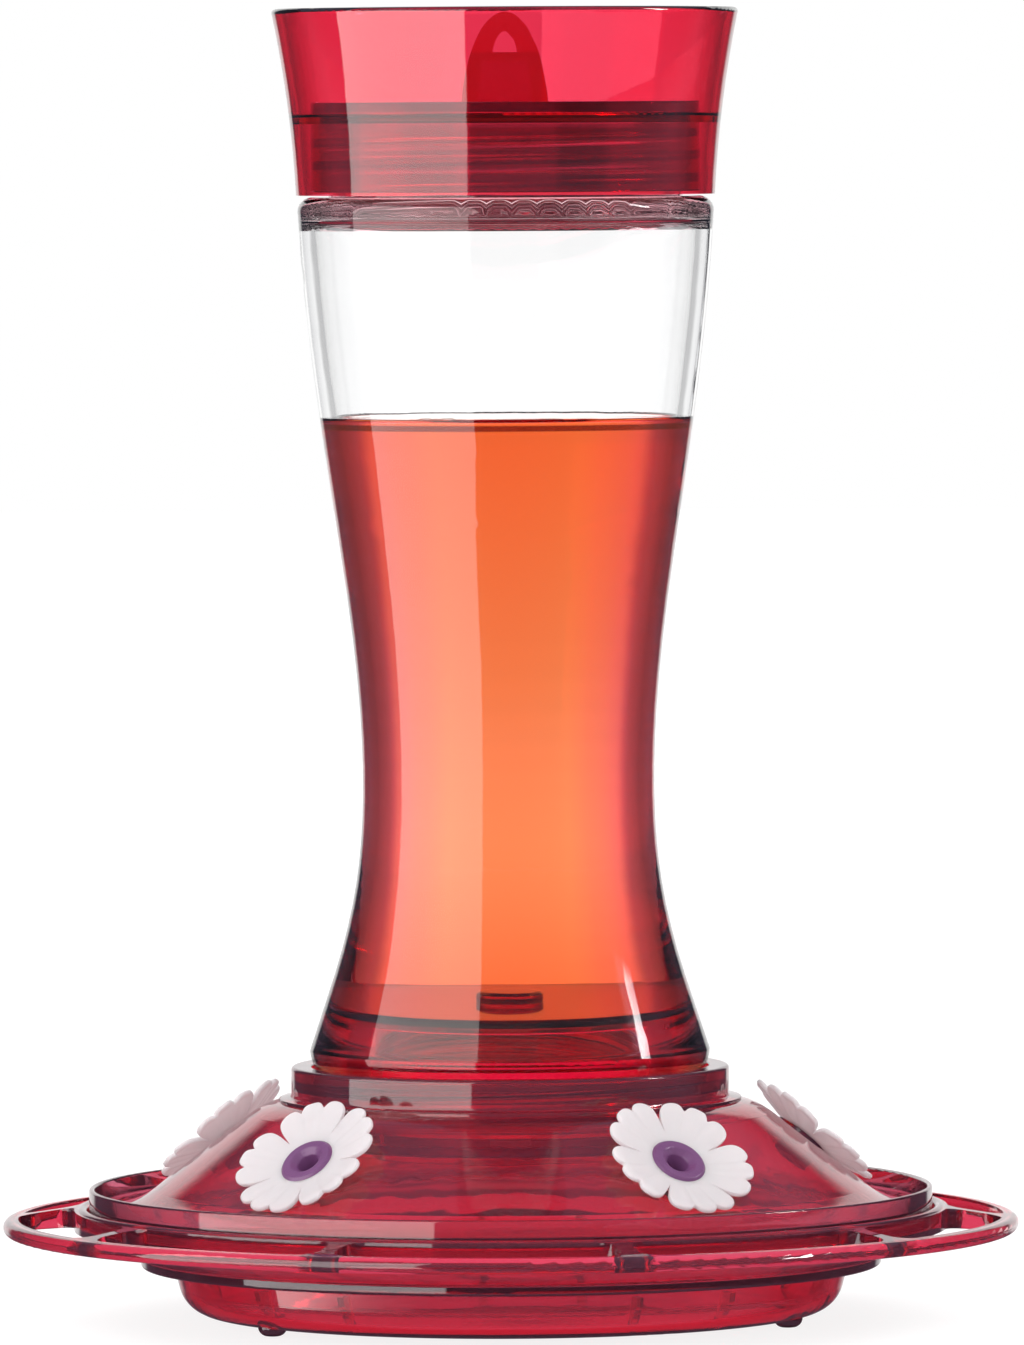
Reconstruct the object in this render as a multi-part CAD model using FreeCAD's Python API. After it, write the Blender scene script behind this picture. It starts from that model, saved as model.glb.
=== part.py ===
"""Hourglass hummingbird feeder, standing on its own three feet.

Frame: origin on the axis in the plane of the feet, +Z up, millimetres. The front of the
feeder faces -Y. Angles round the axis are counted from the front towards +X.
"""
import FreeCAD, Part
import math
import os

Vector = FreeCAD.Vector

# Heights of the main levels above the feet, each from the one below it
TRAY_BOTTOM = 1.6
BOWL_TOP = TRAY_BOTTOM + 10.8
BEAD_TOP = BOWL_TOP + 2.2
RIM_FOOT = BEAD_TOP + 5.8
RIM_TOP = RIM_FOOT + 5.6
HOOP_TOP = RIM_TOP - 2.6
EDGE_HEIGHT = RIM_TOP + 4.2
CONE_FOOT_HEIGHT = EDGE_HEIGHT - 4.3
SHOULDER_HEIGHT = CONE_FOOT_HEIGHT + 22.8
COLLAR_FOOT = SHOULDER_HEIGHT + 1.7
COLLAR_TOP = COLLAR_FOOT + 7.2

# Walls of the mouldings and of the glass
PLASTIC_WALL = 2.2
TRAY_WALL = 2.4
GLASS_WALL = 3.7

# Clearances between pieces
FACE_GAP = 0.05
SLIDE_GAP = 0.4
NECTAR_GAP = 0.1
PLUG_GAP = 0.4

# Bottle necks
UPPER_NECK_RADIUS = 40.0
UPPER_BORE = UPPER_NECK_RADIUS - 3.7
LOWER_NECK_RADIUS = 41.3
LOWER_BORE = LOWER_NECK_RADIUS - 4.0
HEEL_RADIUS = LOWER_NECK_RADIUS + 2.6

# Tray, its rim, the spokes and the perch hoop
BOWL_TOP_RADIUS = 76.4
BOWL_CORNER_RADIUS = BOWL_TOP_RADIUS - 2.8
BOWL_CORNER_ROUND = 8.0
BEAD_RADIUS = BOWL_TOP_RADIUS + 7.4
RIM_RADIUS = BEAD_RADIUS + 14.5
RIM_BORE = RIM_RADIUS - TRAY_WALL
PERCH_GAP = 12.9
HOOP_WIDTH = 3.8
HOOP_HEIGHT = 3.5
HOOP_INNER = RIM_RADIUS + PERCH_GAP
HOOP_RADIUS = HOOP_INNER + HOOP_WIDTH
SPOKE_COUNT = 10
SPOKE_WIDTH = 3.6
SPOKE_THICKNESS = 3.4
SLOT_CORNER = PERCH_GAP * 0.35
FOOT_COUNT = 3
FOOT_CIRCLE = BOWL_CORNER_RADIUS - 6.3
FOOT_RADIUS = 3.3
FOOT_ROUND = 2.2
FOOT_FIRST_ANGLE = -52.5
BOWL_RIB_SPREAD = 9.4
BOWL_RIB_WIDTH = 1.6
BOWL_RIB_DEPTH = 4.0
BOWL_RIB_TOP = BOWL_TOP - 1.4

# Deck: collar, cone and upright edge
SOCKET_RADIUS = LOWER_NECK_RADIUS + 2.2
COLLAR_MOUTH = SOCKET_RADIUS + 1.5
COLLAR_RADIUS = COLLAR_MOUTH + 4.6
COLLAR_STEP = COLLAR_TOP - 2.8
SHOULDER_RADIUS = COLLAR_RADIUS + 6.9
SHOULDER_ROUND = 14.0
LEDGE_WIDTH = 2.8
LEDGE_RISE = 0.6
EDGE_RADIUS = RIM_BORE - SLIDE_GAP
CONE_FOOT_RADIUS = EDGE_RADIUS - 9.5
DECK_FALL = (SHOULDER_HEIGHT - CONE_FOOT_HEIGHT) / (CONE_FOOT_RADIUS - SHOULDER_RADIUS)
CONE_FOOT_REACH = 6.15
CONE_FOOT_ROUND = CONE_FOOT_REACH / math.tan(math.atan(DECK_FALL) / 2)
SOCKET_FLOOR = COLLAR_STEP - 13.6
FLOW_WINDOW_COUNT = 8
FLOW_WINDOW_WIDTH = 9.0
FLOW_WINDOW_HEIGHT = 3.5

# Feeding ports and flowers
PORT_COUNT = 5
PORT_FIRST_ANGLE = -40.0
PORT_RING_RADIUS = 6.3
PORT_RING_HEIGHT = 0.9
PORT_HOLE = 1.7
PORT_DISH_RADIUS = 3.1
PORT_DISH_DEPTH = 4.4
PORT_STEM_RADIUS = 4.5
PORT_STEM_LENGTH = 7.6
PORT_FIT_GAP = 0.1
PORT_BOSS_RADIUS = 8.0
DECK_SLANT = math.hypot(CONE_FOOT_RADIUS - SHOULDER_RADIUS, SHOULDER_HEIGHT - CONE_FOOT_HEIGHT)
FLOWER_RADIUS = DECK_SLANT * 0.464
PORT_SEAT_RADIUS = FLOWER_RADIUS - 4.1
FLOWER_THICKNESS = 1.4
FLOWER_CUP = 2.2
PETAL_COUNT = 5
SLIT_ROOT_SHARE = 0.54
FLOWER_TURNS = (-12.0, -3.0, 6.0, 27.0, -20.0)

# Soft rings
CAP_GASKET_THICKNESS = 2.2
COLLAR_SEAL_THICKNESS = 1.3
VALVE_SEAL_THICKNESS = 1.8

# Bottle: an hourglass from its shoulder to its heel. Each point is how far it stands out,
# from 0 at the waist to 1 at the shoulder or the heel, and its share of the height
BOTTLE_HEIGHT = 198.0
NECTAR_HEIGHT = 147.6
WAIST_RADIUS = 33.0
SHOULDER_OUT = UPPER_NECK_RADIUS + 7.0 - WAIST_RADIUS
HEEL_OUT = LOWER_NECK_RADIUS + 4.0 - WAIST_RADIUS
PROFILE_ABOVE_WAIST = (
    (1.0, 0.9808),
    (0.907, 0.8929),
    (0.679, 0.7561),
    (0.393, 0.6192),
    (0.129, 0.4818),
    (0.0, 0.3323),
)
PROFILE_BELOW_WAIST = (
    (0.098, 0.2308),
    (0.407, 0.1394),
    (0.878, 0.0485),
    (1.0, 0.0253),
)
HEEL_UNDERSIDE = COLLAR_STEP + COLLAR_SEAL_THICKNESS + 2 * FACE_GAP
SHOULDER_PLANE = HEEL_UNDERSIDE + BOTTLE_HEIGHT
SHOULDER_CORNER = 3.2
SHOULDER_GLASS = 2 * GLASS_WALL
NECTAR_LEVEL = HEEL_UNDERSIDE + NECTAR_HEIGHT
LOWER_LIP = SOCKET_FLOOR + VALVE_SEAL_THICKNESS + FACE_GAP

# Cap
SKIRT_DEPTH = 21.4
MOAT_DEPTH = 21.1
MOAT_FLOOR = SHOULDER_PLANE + SKIRT_DEPTH
CAP_TOP = MOAT_FLOOR + MOAT_DEPTH
CAP_BOTTOM = SHOULDER_PLANE + 0.4
LID_UNDERSIDE = MOAT_FLOOR - PLASTIC_WALL
UPPER_LIP = LID_UNDERSIDE - CAP_GASKET_THICKNESS - 2 * FACE_GAP
LEDGE_TOP = MOAT_FLOOR - 2.5
LID_RADIUS = UPPER_NECK_RADIUS + 4.0
SKIRT_WALL = 2.0
CAP_BOTTOM_RADIUS = LID_RADIUS + 3.35
CAP_MIDDLE_RADIUS = CAP_BOTTOM_RADIUS + 1.95
CAP_MIDDLE_HEIGHT = MOAT_FLOOR + 0.3
CAP_TOP_RADIUS = CAP_MIDDLE_RADIUS + 3.4
PLINTH_TOP = MOAT_FLOOR + 11.2
PLINTH_THICKNESS = 11.0
PLINTH_WALL = 2.0
PLINTH_SIDE_WALL = 3.6
EYE_TOP = PLINTH_TOP + 9.1
EYE_HALF_WIDTH = 10.0
EYE_CENTRE_HEIGHT = MOAT_FLOOR - 5.6
EYE_THICKNESS = 5.0
HOOK_HALF_WIDTH = 2.9
HOOK_CENTRE_HEIGHT = PLINTH_TOP - 2.8
HOOK_TOP = EYE_TOP - 4.4

# Flow plug
PLUG_RADIUS = LOWER_BORE - 3.8
PLUG_TOP = SOCKET_FLOOR + 19.5
PLUG_FLANGE_RADIUS = LOWER_BORE - 0.9
PLUG_FLANGE_THICKNESS = 1.6
PLUG_SNAP_DEPTH = 5.0
FLOOR_HOLE = PLUG_RADIUS - 2.0
PULL_TOP = PLUG_TOP + 9.8
PULL_STEM_RADIUS = 1.7
PULL_HEAD_RADIUS = 6.6
PULL_HEAD_THICKNESS = 2.0

# What follows from the slope of the deck and from the flower's cup
PORT_TILT = math.degrees(math.atan(DECK_FALL)) + 4.3
PORT_FACE_RADIUS = (SHOULDER_RADIUS + CONE_FOOT_RADIUS) / 2 - 0.35
PORT_FACE_HEIGHT = SHOULDER_HEIGHT - (PORT_FACE_RADIUS - SHOULDER_RADIUS) * DECK_FALL + 3.13
FLOWER_FRONT = -PORT_RING_HEIGHT
FLOWER_BACK = FLOWER_FRONT - FLOWER_THICKNESS
PORT_SEAT = FLOWER_BACK - FACE_GAP
CUP_CURVE = (FLOWER_RADIUS ** 2 + FLOWER_CUP ** 2) / (2 * FLOWER_CUP)


def around(radius, angle, height):
    """The point at a radius, an angle from the front and a height."""
    turn = math.radians(angle)
    return Vector(radius * math.sin(turn), -radius * math.cos(turn), height)


def corner_edges(corners):
    """Edges of the closed outline through (radius, height, rounding) corners."""
    count = len(corners)
    starts, ends, arcs = [], [], []
    for index in range(count):
        here = Vector(corners[index][0], 0, corners[index][1])
        before = Vector(corners[index - 1][0], 0, corners[index - 1][1])
        after = Vector(corners[(index + 1) % count][0], 0, corners[(index + 1) % count][1])
        rounding = corners[index][2] if len(corners[index]) > 2 else 0
        back = (before - here).normalize()
        ahead = (after - here).normalize()
        half = back.getAngle(ahead) / 2
        if rounding <= 0 or math.pi / 2 - half < 0.01:
            starts.append(here)
            ends.append(here)
            arcs.append(None)
            continue
        reach = rounding / math.tan(half)
        middle_line = (back + ahead).normalize()
        centre = here + middle_line * (rounding / math.sin(half))
        starts.append(here + back * reach)
        ends.append(here + ahead * reach)
        arcs.append(centre - middle_line * rounding)
    edges = []
    for index in range(count):
        if arcs[index] is not None:
            edges.append(Part.Arc(starts[index], arcs[index], ends[index]).toShape())
        after = starts[(index + 1) % count]
        if (after - ends[index]).Length > 1e-6:
            edges.append(Part.LineSegment(ends[index], after).toShape())
    return edges


def turned(edges):
    """The solid made by turning a closed outline in the XZ plane round the Z axis."""
    face = Part.Face(Part.Wire(Part.__sortEdges__(edges)))
    return face.revolve(Vector(0, 0, 0), Vector(0, 0, 1), 360)


def turned_corners(*corners):
    return turned(corner_edges(corners))


def moved_path(path, distance):
    """The open path of (radius, height, rounding) corners, moved to its left."""
    points = [Vector(corner[0], 0, corner[1]) for corner in path]
    rounds = [corner[2] if len(corner) > 2 else 0 for corner in path]
    directions = []
    for start, end in zip(points, points[1:]):
        directions.append((end - start).normalize())
    sides = [Vector(-way.z, 0, way.x) for way in directions]
    moved = [points[0] + sides[0] * distance]
    moved_rounds = [0]
    for index in range(1, len(points) - 1):
        middle_line = sides[index - 1] + sides[index]
        scale = 2 * distance / middle_line.dot(middle_line)
        moved.append(points[index] + middle_line * scale)
        bend = directions[index - 1].cross(directions[index]).y
        change = distance if bend > 0 else -distance
        moved_rounds.append(max(rounds[index] + change, 0) if rounds[index] else 0)
    moved.append(points[-1] + sides[-1] * distance)
    moved_rounds.append(rounds[-1])
    return [(point.x, point.z, rounding) for point, rounding in zip(moved, moved_rounds)]


def walled(skin, wall):
    """Corners of a wall of even thickness to the left of the open path through skin."""
    return list(skin) + moved_path(skin, wall)[::-1]


def tube(inner, outer, bottom, top):
    """A plain ring between two radii and two heights."""
    return turned_corners((inner, bottom), (outer, bottom), (outer, top), (inner, top))


def prism(edges, direction):
    return Part.Face(Part.Wire(edges)).extrude(direction)


def bottle_curve(inset, top=SHOULDER_PLANE):
    """The bottle's side from the shoulder down to the heel, moved in by inset."""
    curve = Part.BSplineCurve()
    points = []
    for out, height in PROFILE_ABOVE_WAIST:
        points.append((WAIST_RADIUS + out * SHOULDER_OUT, height * BOTTLE_HEIGHT))
    for out, height in PROFILE_BELOW_WAIST:
        points.append((WAIST_RADIUS + out * HEEL_OUT, height * BOTTLE_HEIGHT))
    curve.interpolate([
        Vector(radius - inset, 0, HEEL_UNDERSIDE + height) for radius, height in points
    ])
    start, end = curve.FirstParameter, curve.LastParameter
    if curve.value(start).z > top:
        low, high = start, end
        for _ in range(40):
            middle = (low + high) / 2
            if curve.value(middle).z > top:
                low = middle
            else:
                high = middle
        curve.segment(high, end)
    return curve.toShape()


def bore_edges(inset, top):
    """The bottle's inner side from its lower lip up to top, moved in by inset."""
    side = bottle_curve(GLASS_WALL + inset, SHOULDER_PLANE - SHOULDER_GLASS)
    side_top = side.Vertexes[0].Point
    side_foot = side.Vertexes[-1].Point
    lower = Vector(LOWER_BORE - inset, 0, LOWER_LIP)
    lower_top = Vector(LOWER_BORE - inset, 0, HEEL_UNDERSIDE - 1.0)
    upper_foot = Vector(UPPER_BORE - inset, 0, SHOULDER_PLANE - 1.5)
    upper = Vector(UPPER_BORE - inset, 0, top)
    heel_round = Part.BezierCurve()
    heel_round.setPoles([
        lower_top,
        lower_top + Vector(0.2, 0, 2.6),
        side_foot + Vector(0.3, 0, -2.4),
        side_foot,
    ])
    shoulder_round = Part.BezierCurve()
    shoulder_round.setPoles([
        side_top,
        side_top + Vector(0.1, 0, 4.0),
        upper_foot + Vector(1.0, 0, -2.6),
        upper_foot,
    ])
    return [
        Part.LineSegment(lower, lower_top).toShape(),
        heel_round.toShape(),
        side,
        shoulder_round.toShape(),
        Part.LineSegment(upper_foot, upper).toShape(),
    ]


def glass_bottle():
    """Hourglass bottle with a plain neck at each end."""
    side = bottle_curve(0)
    side_top = side.Vertexes[0].Point
    side_foot = side.Vertexes[-1].Point
    lip_round = 1.2
    outline = [side]
    shoulder_inner = side_top.x - SHOULDER_CORNER
    corner_middle = SHOULDER_CORNER * math.sin(math.radians(45))
    outline.append(Part.Arc(
        side_top,
        Vector(shoulder_inner + corner_middle, 0, SHOULDER_PLANE - SHOULDER_CORNER + corner_middle),
        Vector(shoulder_inner, 0, SHOULDER_PLANE),
    ).toShape())
    path = [
        Vector(shoulder_inner, 0, SHOULDER_PLANE),
        Vector(UPPER_NECK_RADIUS, 0, SHOULDER_PLANE),
        Vector(UPPER_NECK_RADIUS, 0, UPPER_LIP - lip_round),
        Vector(UPPER_NECK_RADIUS - lip_round, 0, UPPER_LIP),
        Vector(UPPER_BORE, 0, UPPER_LIP),
    ]
    for start, end in zip(path, path[1:]):
        outline.append(Part.LineSegment(start, end).toShape())
    outline += bore_edges(0, UPPER_LIP)
    heel = Part.Arc(
        side_foot,
        Vector(side_foot.x - 0.35, 0, side_foot.z - 2.2),
        Vector(HEEL_RADIUS, 0, HEEL_UNDERSIDE + 0.6),
    ).toShape()
    outline.append(heel)
    path = [
        Vector(HEEL_RADIUS, 0, HEEL_UNDERSIDE + 0.6),
        Vector(HEEL_RADIUS - 0.6, 0, HEEL_UNDERSIDE),
        Vector(LOWER_NECK_RADIUS, 0, HEEL_UNDERSIDE),
        Vector(LOWER_NECK_RADIUS, 0, LOWER_LIP + lip_round),
        Vector(LOWER_NECK_RADIUS - lip_round, 0, LOWER_LIP),
        Vector(LOWER_BORE, 0, LOWER_LIP),
    ]
    for start, end in zip(path, path[1:]):
        outline.append(Part.LineSegment(start, end).toShape())
    return turned(outline)


def nectar():
    """The filling, with straight-sided room so that it rises clear of the plug."""
    outline = bore_edges(NECTAR_GAP, UPPER_LIP)
    top = outline[-1].Vertexes[-1].Point
    foot = outline[0].Vertexes[0].Point
    outline.append(Part.LineSegment(top, Vector(0, 0, top.z)).toShape())
    outline.append(Part.LineSegment(Vector(0, 0, top.z), Vector(0, 0, foot.z)).toShape())
    outline.append(Part.LineSegment(Vector(0, 0, foot.z), foot).toShape())
    full = turned(outline)
    level = Part.makeCylinder(2 * UPPER_BORE, NECTAR_LEVEL - LOWER_LIP - FACE_GAP,
                              Vector(0, 0, LOWER_LIP + FACE_GAP))
    rooms = [
        Part.makeCylinder(PLUG_RADIUS + PLUG_GAP, PLUG_TOP + PLUG_GAP),
        Part.makeCylinder(PULL_HEAD_RADIUS + PLUG_GAP, PULL_TOP + PLUG_GAP),
    ]
    return full.common(level).cut(rooms)


def base_tray():
    """Bowl, rim, spokes, perch hoop and feet, moulded in one piece."""
    skin = [
        (0, TRAY_BOTTOM),
        (BOWL_CORNER_RADIUS, TRAY_BOTTOM, BOWL_CORNER_ROUND),
        (BOWL_TOP_RADIUS, BOWL_TOP, 1.0),
        (BEAD_RADIUS, BOWL_TOP, 0.8),
        (BEAD_RADIUS + 0.3, BEAD_TOP, 0.4),
        (RIM_RADIUS, RIM_FOOT, 2.6),
        (RIM_RADIUS, RIM_TOP, 1.1),
    ]
    tray = turned_corners(*walled(skin, TRAY_WALL))
    web = turned_corners(
        (RIM_RADIUS - 0.8, RIM_TOP - 0.6),
        (RIM_RADIUS + 0.6, RIM_TOP - 0.6, 0.5),
        (HOOP_INNER + 1.4, HOOP_TOP - 0.1),
        (HOOP_INNER + 1.4, HOOP_TOP - 0.1 - SPOKE_THICKNESS),
        (RIM_RADIUS - 0.8, RIM_TOP - 0.8 - SPOKE_THICKNESS - 0.9),
    )
    for index in range(SPOKE_COUNT):
        web = web.cut(perch_slot(index))
    hoop_centre = HOOP_RADIUS - HOOP_WIDTH / 2
    hoop_middle = HOOP_TOP - HOOP_HEIGHT / 2
    hoop_round = HOOP_HEIGHT / 2 - 0.05
    hoop = turned_corners(
        (hoop_centre - HOOP_WIDTH / 2, hoop_middle - HOOP_HEIGHT / 2, hoop_round),
        (hoop_centre + HOOP_WIDTH / 2, hoop_middle - HOOP_HEIGHT / 2, hoop_round),
        (hoop_centre + HOOP_WIDTH / 2, hoop_middle + HOOP_HEIGHT / 2, hoop_round),
        (hoop_centre - HOOP_WIDTH / 2, hoop_middle + HOOP_HEIGHT / 2, hoop_round),
    )
    pieces = [web, hoop]
    for index in range(FOOT_COUNT):
        pieces.append(foot(FOOT_FIRST_ANGLE + index * 360 / FOOT_COUNT))
    for index in range(PORT_COUNT):
        for side in (-1, 1):
            pieces.append(bowl_rib(port_angle(index) + side * BOWL_RIB_SPREAD))
    return tray.multiFuse(pieces).removeSplitter()


def perch_slot(index):
    """One opening between rim and hoop, with rounded corners, as a cutting block."""
    pitch = 360 / SPOKE_COUNT
    centre = port_angle(0) + index * pitch
    inner = RIM_RADIUS + 0.6
    outer = HOOP_INNER + 0.4
    block = tube(inner, outer, RIM_FOOT - 6, RIM_TOP + 6)
    half_gap = SPOKE_WIDTH / 2
    sector = None
    for side in (-1, 1):
        turn = centre + side * pitch / 2
        keep = Part.makeBox(2 * HOOP_RADIUS, HOOP_RADIUS, RIM_TOP + 20)
        keep.translate(Vector(-HOOP_RADIUS, half_gap, 0))
        keep.rotate(Vector(0, 0, 0), Vector(0, 0, 1), turn + (90 if side < 0 else -90))
        sector = keep if sector is None else sector.common(keep)
    block = block.common(sector)
    upright = [edge for edge in block.Edges
               if abs(edge.tangentAt(edge.FirstParameter).z) > 0.99]
    return block.makeFillet(SLOT_CORNER, upright)


def foot(angle):
    """One domed foot under the bowl's corner."""
    top = TRAY_BOTTOM + TRAY_WALL
    dome = turned_corners((0, 0), (FOOT_RADIUS, 0, FOOT_ROUND), (FOOT_RADIUS, top), (0, top))
    dome.translate(around(FOOT_CIRCLE, angle, 0))
    return dome


def bowl_rib(angle):
    """A short upright rib on the inside of the bowl wall."""
    floor = TRAY_BOTTOM + TRAY_WALL
    wall_foot = BOWL_CORNER_RADIUS - TRAY_WALL - 1.0
    wall_top = BOWL_TOP_RADIUS - TRAY_WALL + 0.6
    corners = [
        Vector(-BOWL_RIB_WIDTH / 2, -(wall_foot - BOWL_RIB_DEPTH / 2), floor - 0.4),
        Vector(-BOWL_RIB_WIDTH / 2, -wall_foot, floor + 1.0),
        Vector(-BOWL_RIB_WIDTH / 2, -wall_top, BOWL_RIB_TOP),
        Vector(-BOWL_RIB_WIDTH / 2, -(wall_top - BOWL_RIB_DEPTH), BOWL_RIB_TOP),
    ]
    rib = Part.Face(Part.makePolygon(corners + corners[:1])).extrude(Vector(BOWL_RIB_WIDTH, 0, 0))
    rib.rotate(Vector(0, 0, 0), Vector(0, 0, 1), angle)
    return rib


def port_angle(index):
    return PORT_FIRST_ANGLE + index * 360 / PORT_COUNT


def on_port(shape, index):
    """A shape made about the Z axis, moved so that its zero lies on a port's face."""
    placed = shape.copy()
    placed.rotate(Vector(0, 0, 0), Vector(1, 0, 0), PORT_TILT)
    placed.rotate(Vector(0, 0, 0), Vector(0, 0, 1), port_angle(index))
    placed.translate(around(PORT_FACE_RADIUS, port_angle(index), PORT_FACE_HEIGHT))
    return placed


def deck_slope():
    """The deck's outer skin from its upright edge up to the collar's mouth."""
    return [
        (EDGE_RADIUS - PLASTIC_WALL / 2, CONE_FOOT_HEIGHT + 0.4),
        (CONE_FOOT_RADIUS, CONE_FOOT_HEIGHT, CONE_FOOT_ROUND),
        (SHOULDER_RADIUS, SHOULDER_HEIGHT, SHOULDER_ROUND),
        (COLLAR_RADIUS, COLLAR_FOOT, 1.5),
        (COLLAR_RADIUS, COLLAR_TOP, 0.8),
        (COLLAR_MOUTH + 1.2, COLLAR_TOP),
    ]


def feeder_deck():
    """Base cover: collar and bottle socket, domed deck with port seats, upright edge."""
    deck = turned_corners(*walled(deck_slope(), PLASTIC_WALL))
    edge_foot = tray_floor_height(EDGE_RADIUS) + SLIDE_GAP
    edge = turned_corners(
        (EDGE_RADIUS - 1.9, edge_foot),
        (EDGE_RADIUS, edge_foot, 0.3),
        (EDGE_RADIUS, EDGE_HEIGHT, 0.55),
        (EDGE_RADIUS - 1.2, EDGE_HEIGHT, 0.55),
        (EDGE_RADIUS - 1.9, CONE_FOOT_HEIGHT),
    )
    socket = turned_corners(
        (FLOOR_HOLE, SOCKET_FLOOR - PLASTIC_WALL),
        (SOCKET_RADIUS + PLASTIC_WALL, SOCKET_FLOOR - PLASTIC_WALL, 0.6),
        (SOCKET_RADIUS + PLASTIC_WALL, COLLAR_STEP - 3.0),
        (COLLAR_RADIUS - 1.0, COLLAR_STEP - 2.0),
        (COLLAR_RADIUS - 1.0, COLLAR_TOP - 1.0),
        (COLLAR_MOUTH + 1.6, COLLAR_TOP),
        (COLLAR_MOUTH, COLLAR_TOP, 0.4),
        (COLLAR_MOUTH, COLLAR_STEP),
        (SOCKET_RADIUS, COLLAR_STEP),
        (SOCKET_RADIUS, SOCKET_FLOOR),
        (FLOOR_HOLE, SOCKET_FLOOR),
    )
    ledge = turned_corners(
        (COLLAR_RADIUS - 1.0, COLLAR_FOOT + LEDGE_RISE),
        (COLLAR_RADIUS + LEDGE_WIDTH, COLLAR_FOOT, 0.3),
        (COLLAR_RADIUS + LEDGE_WIDTH, COLLAR_FOOT - PLASTIC_WALL),
        (COLLAR_RADIUS - 1.0, COLLAR_FOOT - PLASTIC_WALL / 2),
    )
    pieces = [edge, socket, ledge]
    cutters = []
    boss = Part.makeCylinder(PORT_BOSS_RADIUS, 3.2, Vector(0, 0, PORT_SEAT - 3.2))
    seat = Part.makeCylinder(PORT_SEAT_RADIUS, 10, Vector(0, 0, PORT_SEAT))
    hole_foot = Vector(0, 0, -PORT_STEM_LENGTH - 2)
    hole = Part.makeCylinder(PORT_STEM_RADIUS + 2 * PORT_FIT_GAP, 2 * PORT_STEM_LENGTH, hole_foot)
    for index in range(PORT_COUNT):
        pieces.append(on_port(boss, index))
        cutters.append(on_port(seat, index))
        cutters.append(on_port(hole, index))
    for index in range(FLOW_WINDOW_COUNT):
        window = Part.makeBox(FLOW_WINDOW_WIDTH, 8, FLOW_WINDOW_HEIGHT)
        window.translate(Vector(-FLOW_WINDOW_WIDTH / 2, -SOCKET_RADIUS - 6, SOCKET_FLOOR + 0.6))
        window.rotate(Vector(0, 0, 0), Vector(0, 0, 1), index * 360 / FLOW_WINDOW_COUNT)
        cutters.append(window)
    return deck.multiFuse(pieces).cut(cutters).removeSplitter()


def tray_floor_height(radius):
    """Height of the tray's sloping inner face under the deck, at a radius."""
    rise = (RIM_FOOT - BEAD_TOP) / (RIM_RADIUS - BEAD_RADIUS - 0.3)
    thickness = TRAY_WALL * math.hypot(1, rise)
    return BEAD_TOP + (radius - BEAD_RADIUS - 0.3) * rise + thickness


def tray_seal():
    """Ring that fills the corner between the tray's slope and the deck's edge."""
    inner = EDGE_RADIUS - 5.4
    outer = EDGE_RADIUS - 1.9 - SLIDE_GAP
    top = CONE_FOOT_HEIGHT - PLASTIC_WALL - SLIDE_GAP
    return turned_corners(
        (inner, tray_floor_height(inner) + FACE_GAP),
        (outer, tray_floor_height(outer) + FACE_GAP),
        (outer, top, 0.4),
        (inner, top, 0.4),
    )


def flow_plug():
    """Hollow plug that stands in the bottle's lower mouth, with a pull button on a stem."""
    foot_height = SOCKET_FLOOR + FACE_GAP
    flange_top = foot_height + PLUG_FLANGE_THICKNESS
    snap_radius = FLOOR_HOLE - 2 * FACE_GAP
    snap_foot = SOCKET_FLOOR - PLUG_SNAP_DEPTH
    bore = PLUG_RADIUS - PLASTIC_WALL
    return turned_corners(
        (0, PULL_TOP),
        (PULL_HEAD_RADIUS, PULL_TOP, 0.8),
        (PULL_HEAD_RADIUS, PULL_TOP - PULL_HEAD_THICKNESS, 0.8),
        (PULL_STEM_RADIUS, PULL_TOP - PULL_HEAD_THICKNESS, 0.6),
        (PULL_STEM_RADIUS, PLUG_TOP, 0.6),
        (PLUG_RADIUS, PLUG_TOP, 3.0),
        (PLUG_RADIUS, flange_top, 0.8),
        (PLUG_FLANGE_RADIUS, flange_top, 0.4),
        (PLUG_FLANGE_RADIUS, foot_height),
        (snap_radius, foot_height),
        (snap_radius, snap_foot, 0.4),
        (snap_radius - PLASTIC_WALL, snap_foot, 0.4),
        (snap_radius - PLASTIC_WALL, flange_top),
        (bore, flange_top + 2.0),
        (bore, PLUG_TOP - PLASTIC_WALL, 1.0),
        (0, PLUG_TOP - PLASTIC_WALL),
    )


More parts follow.
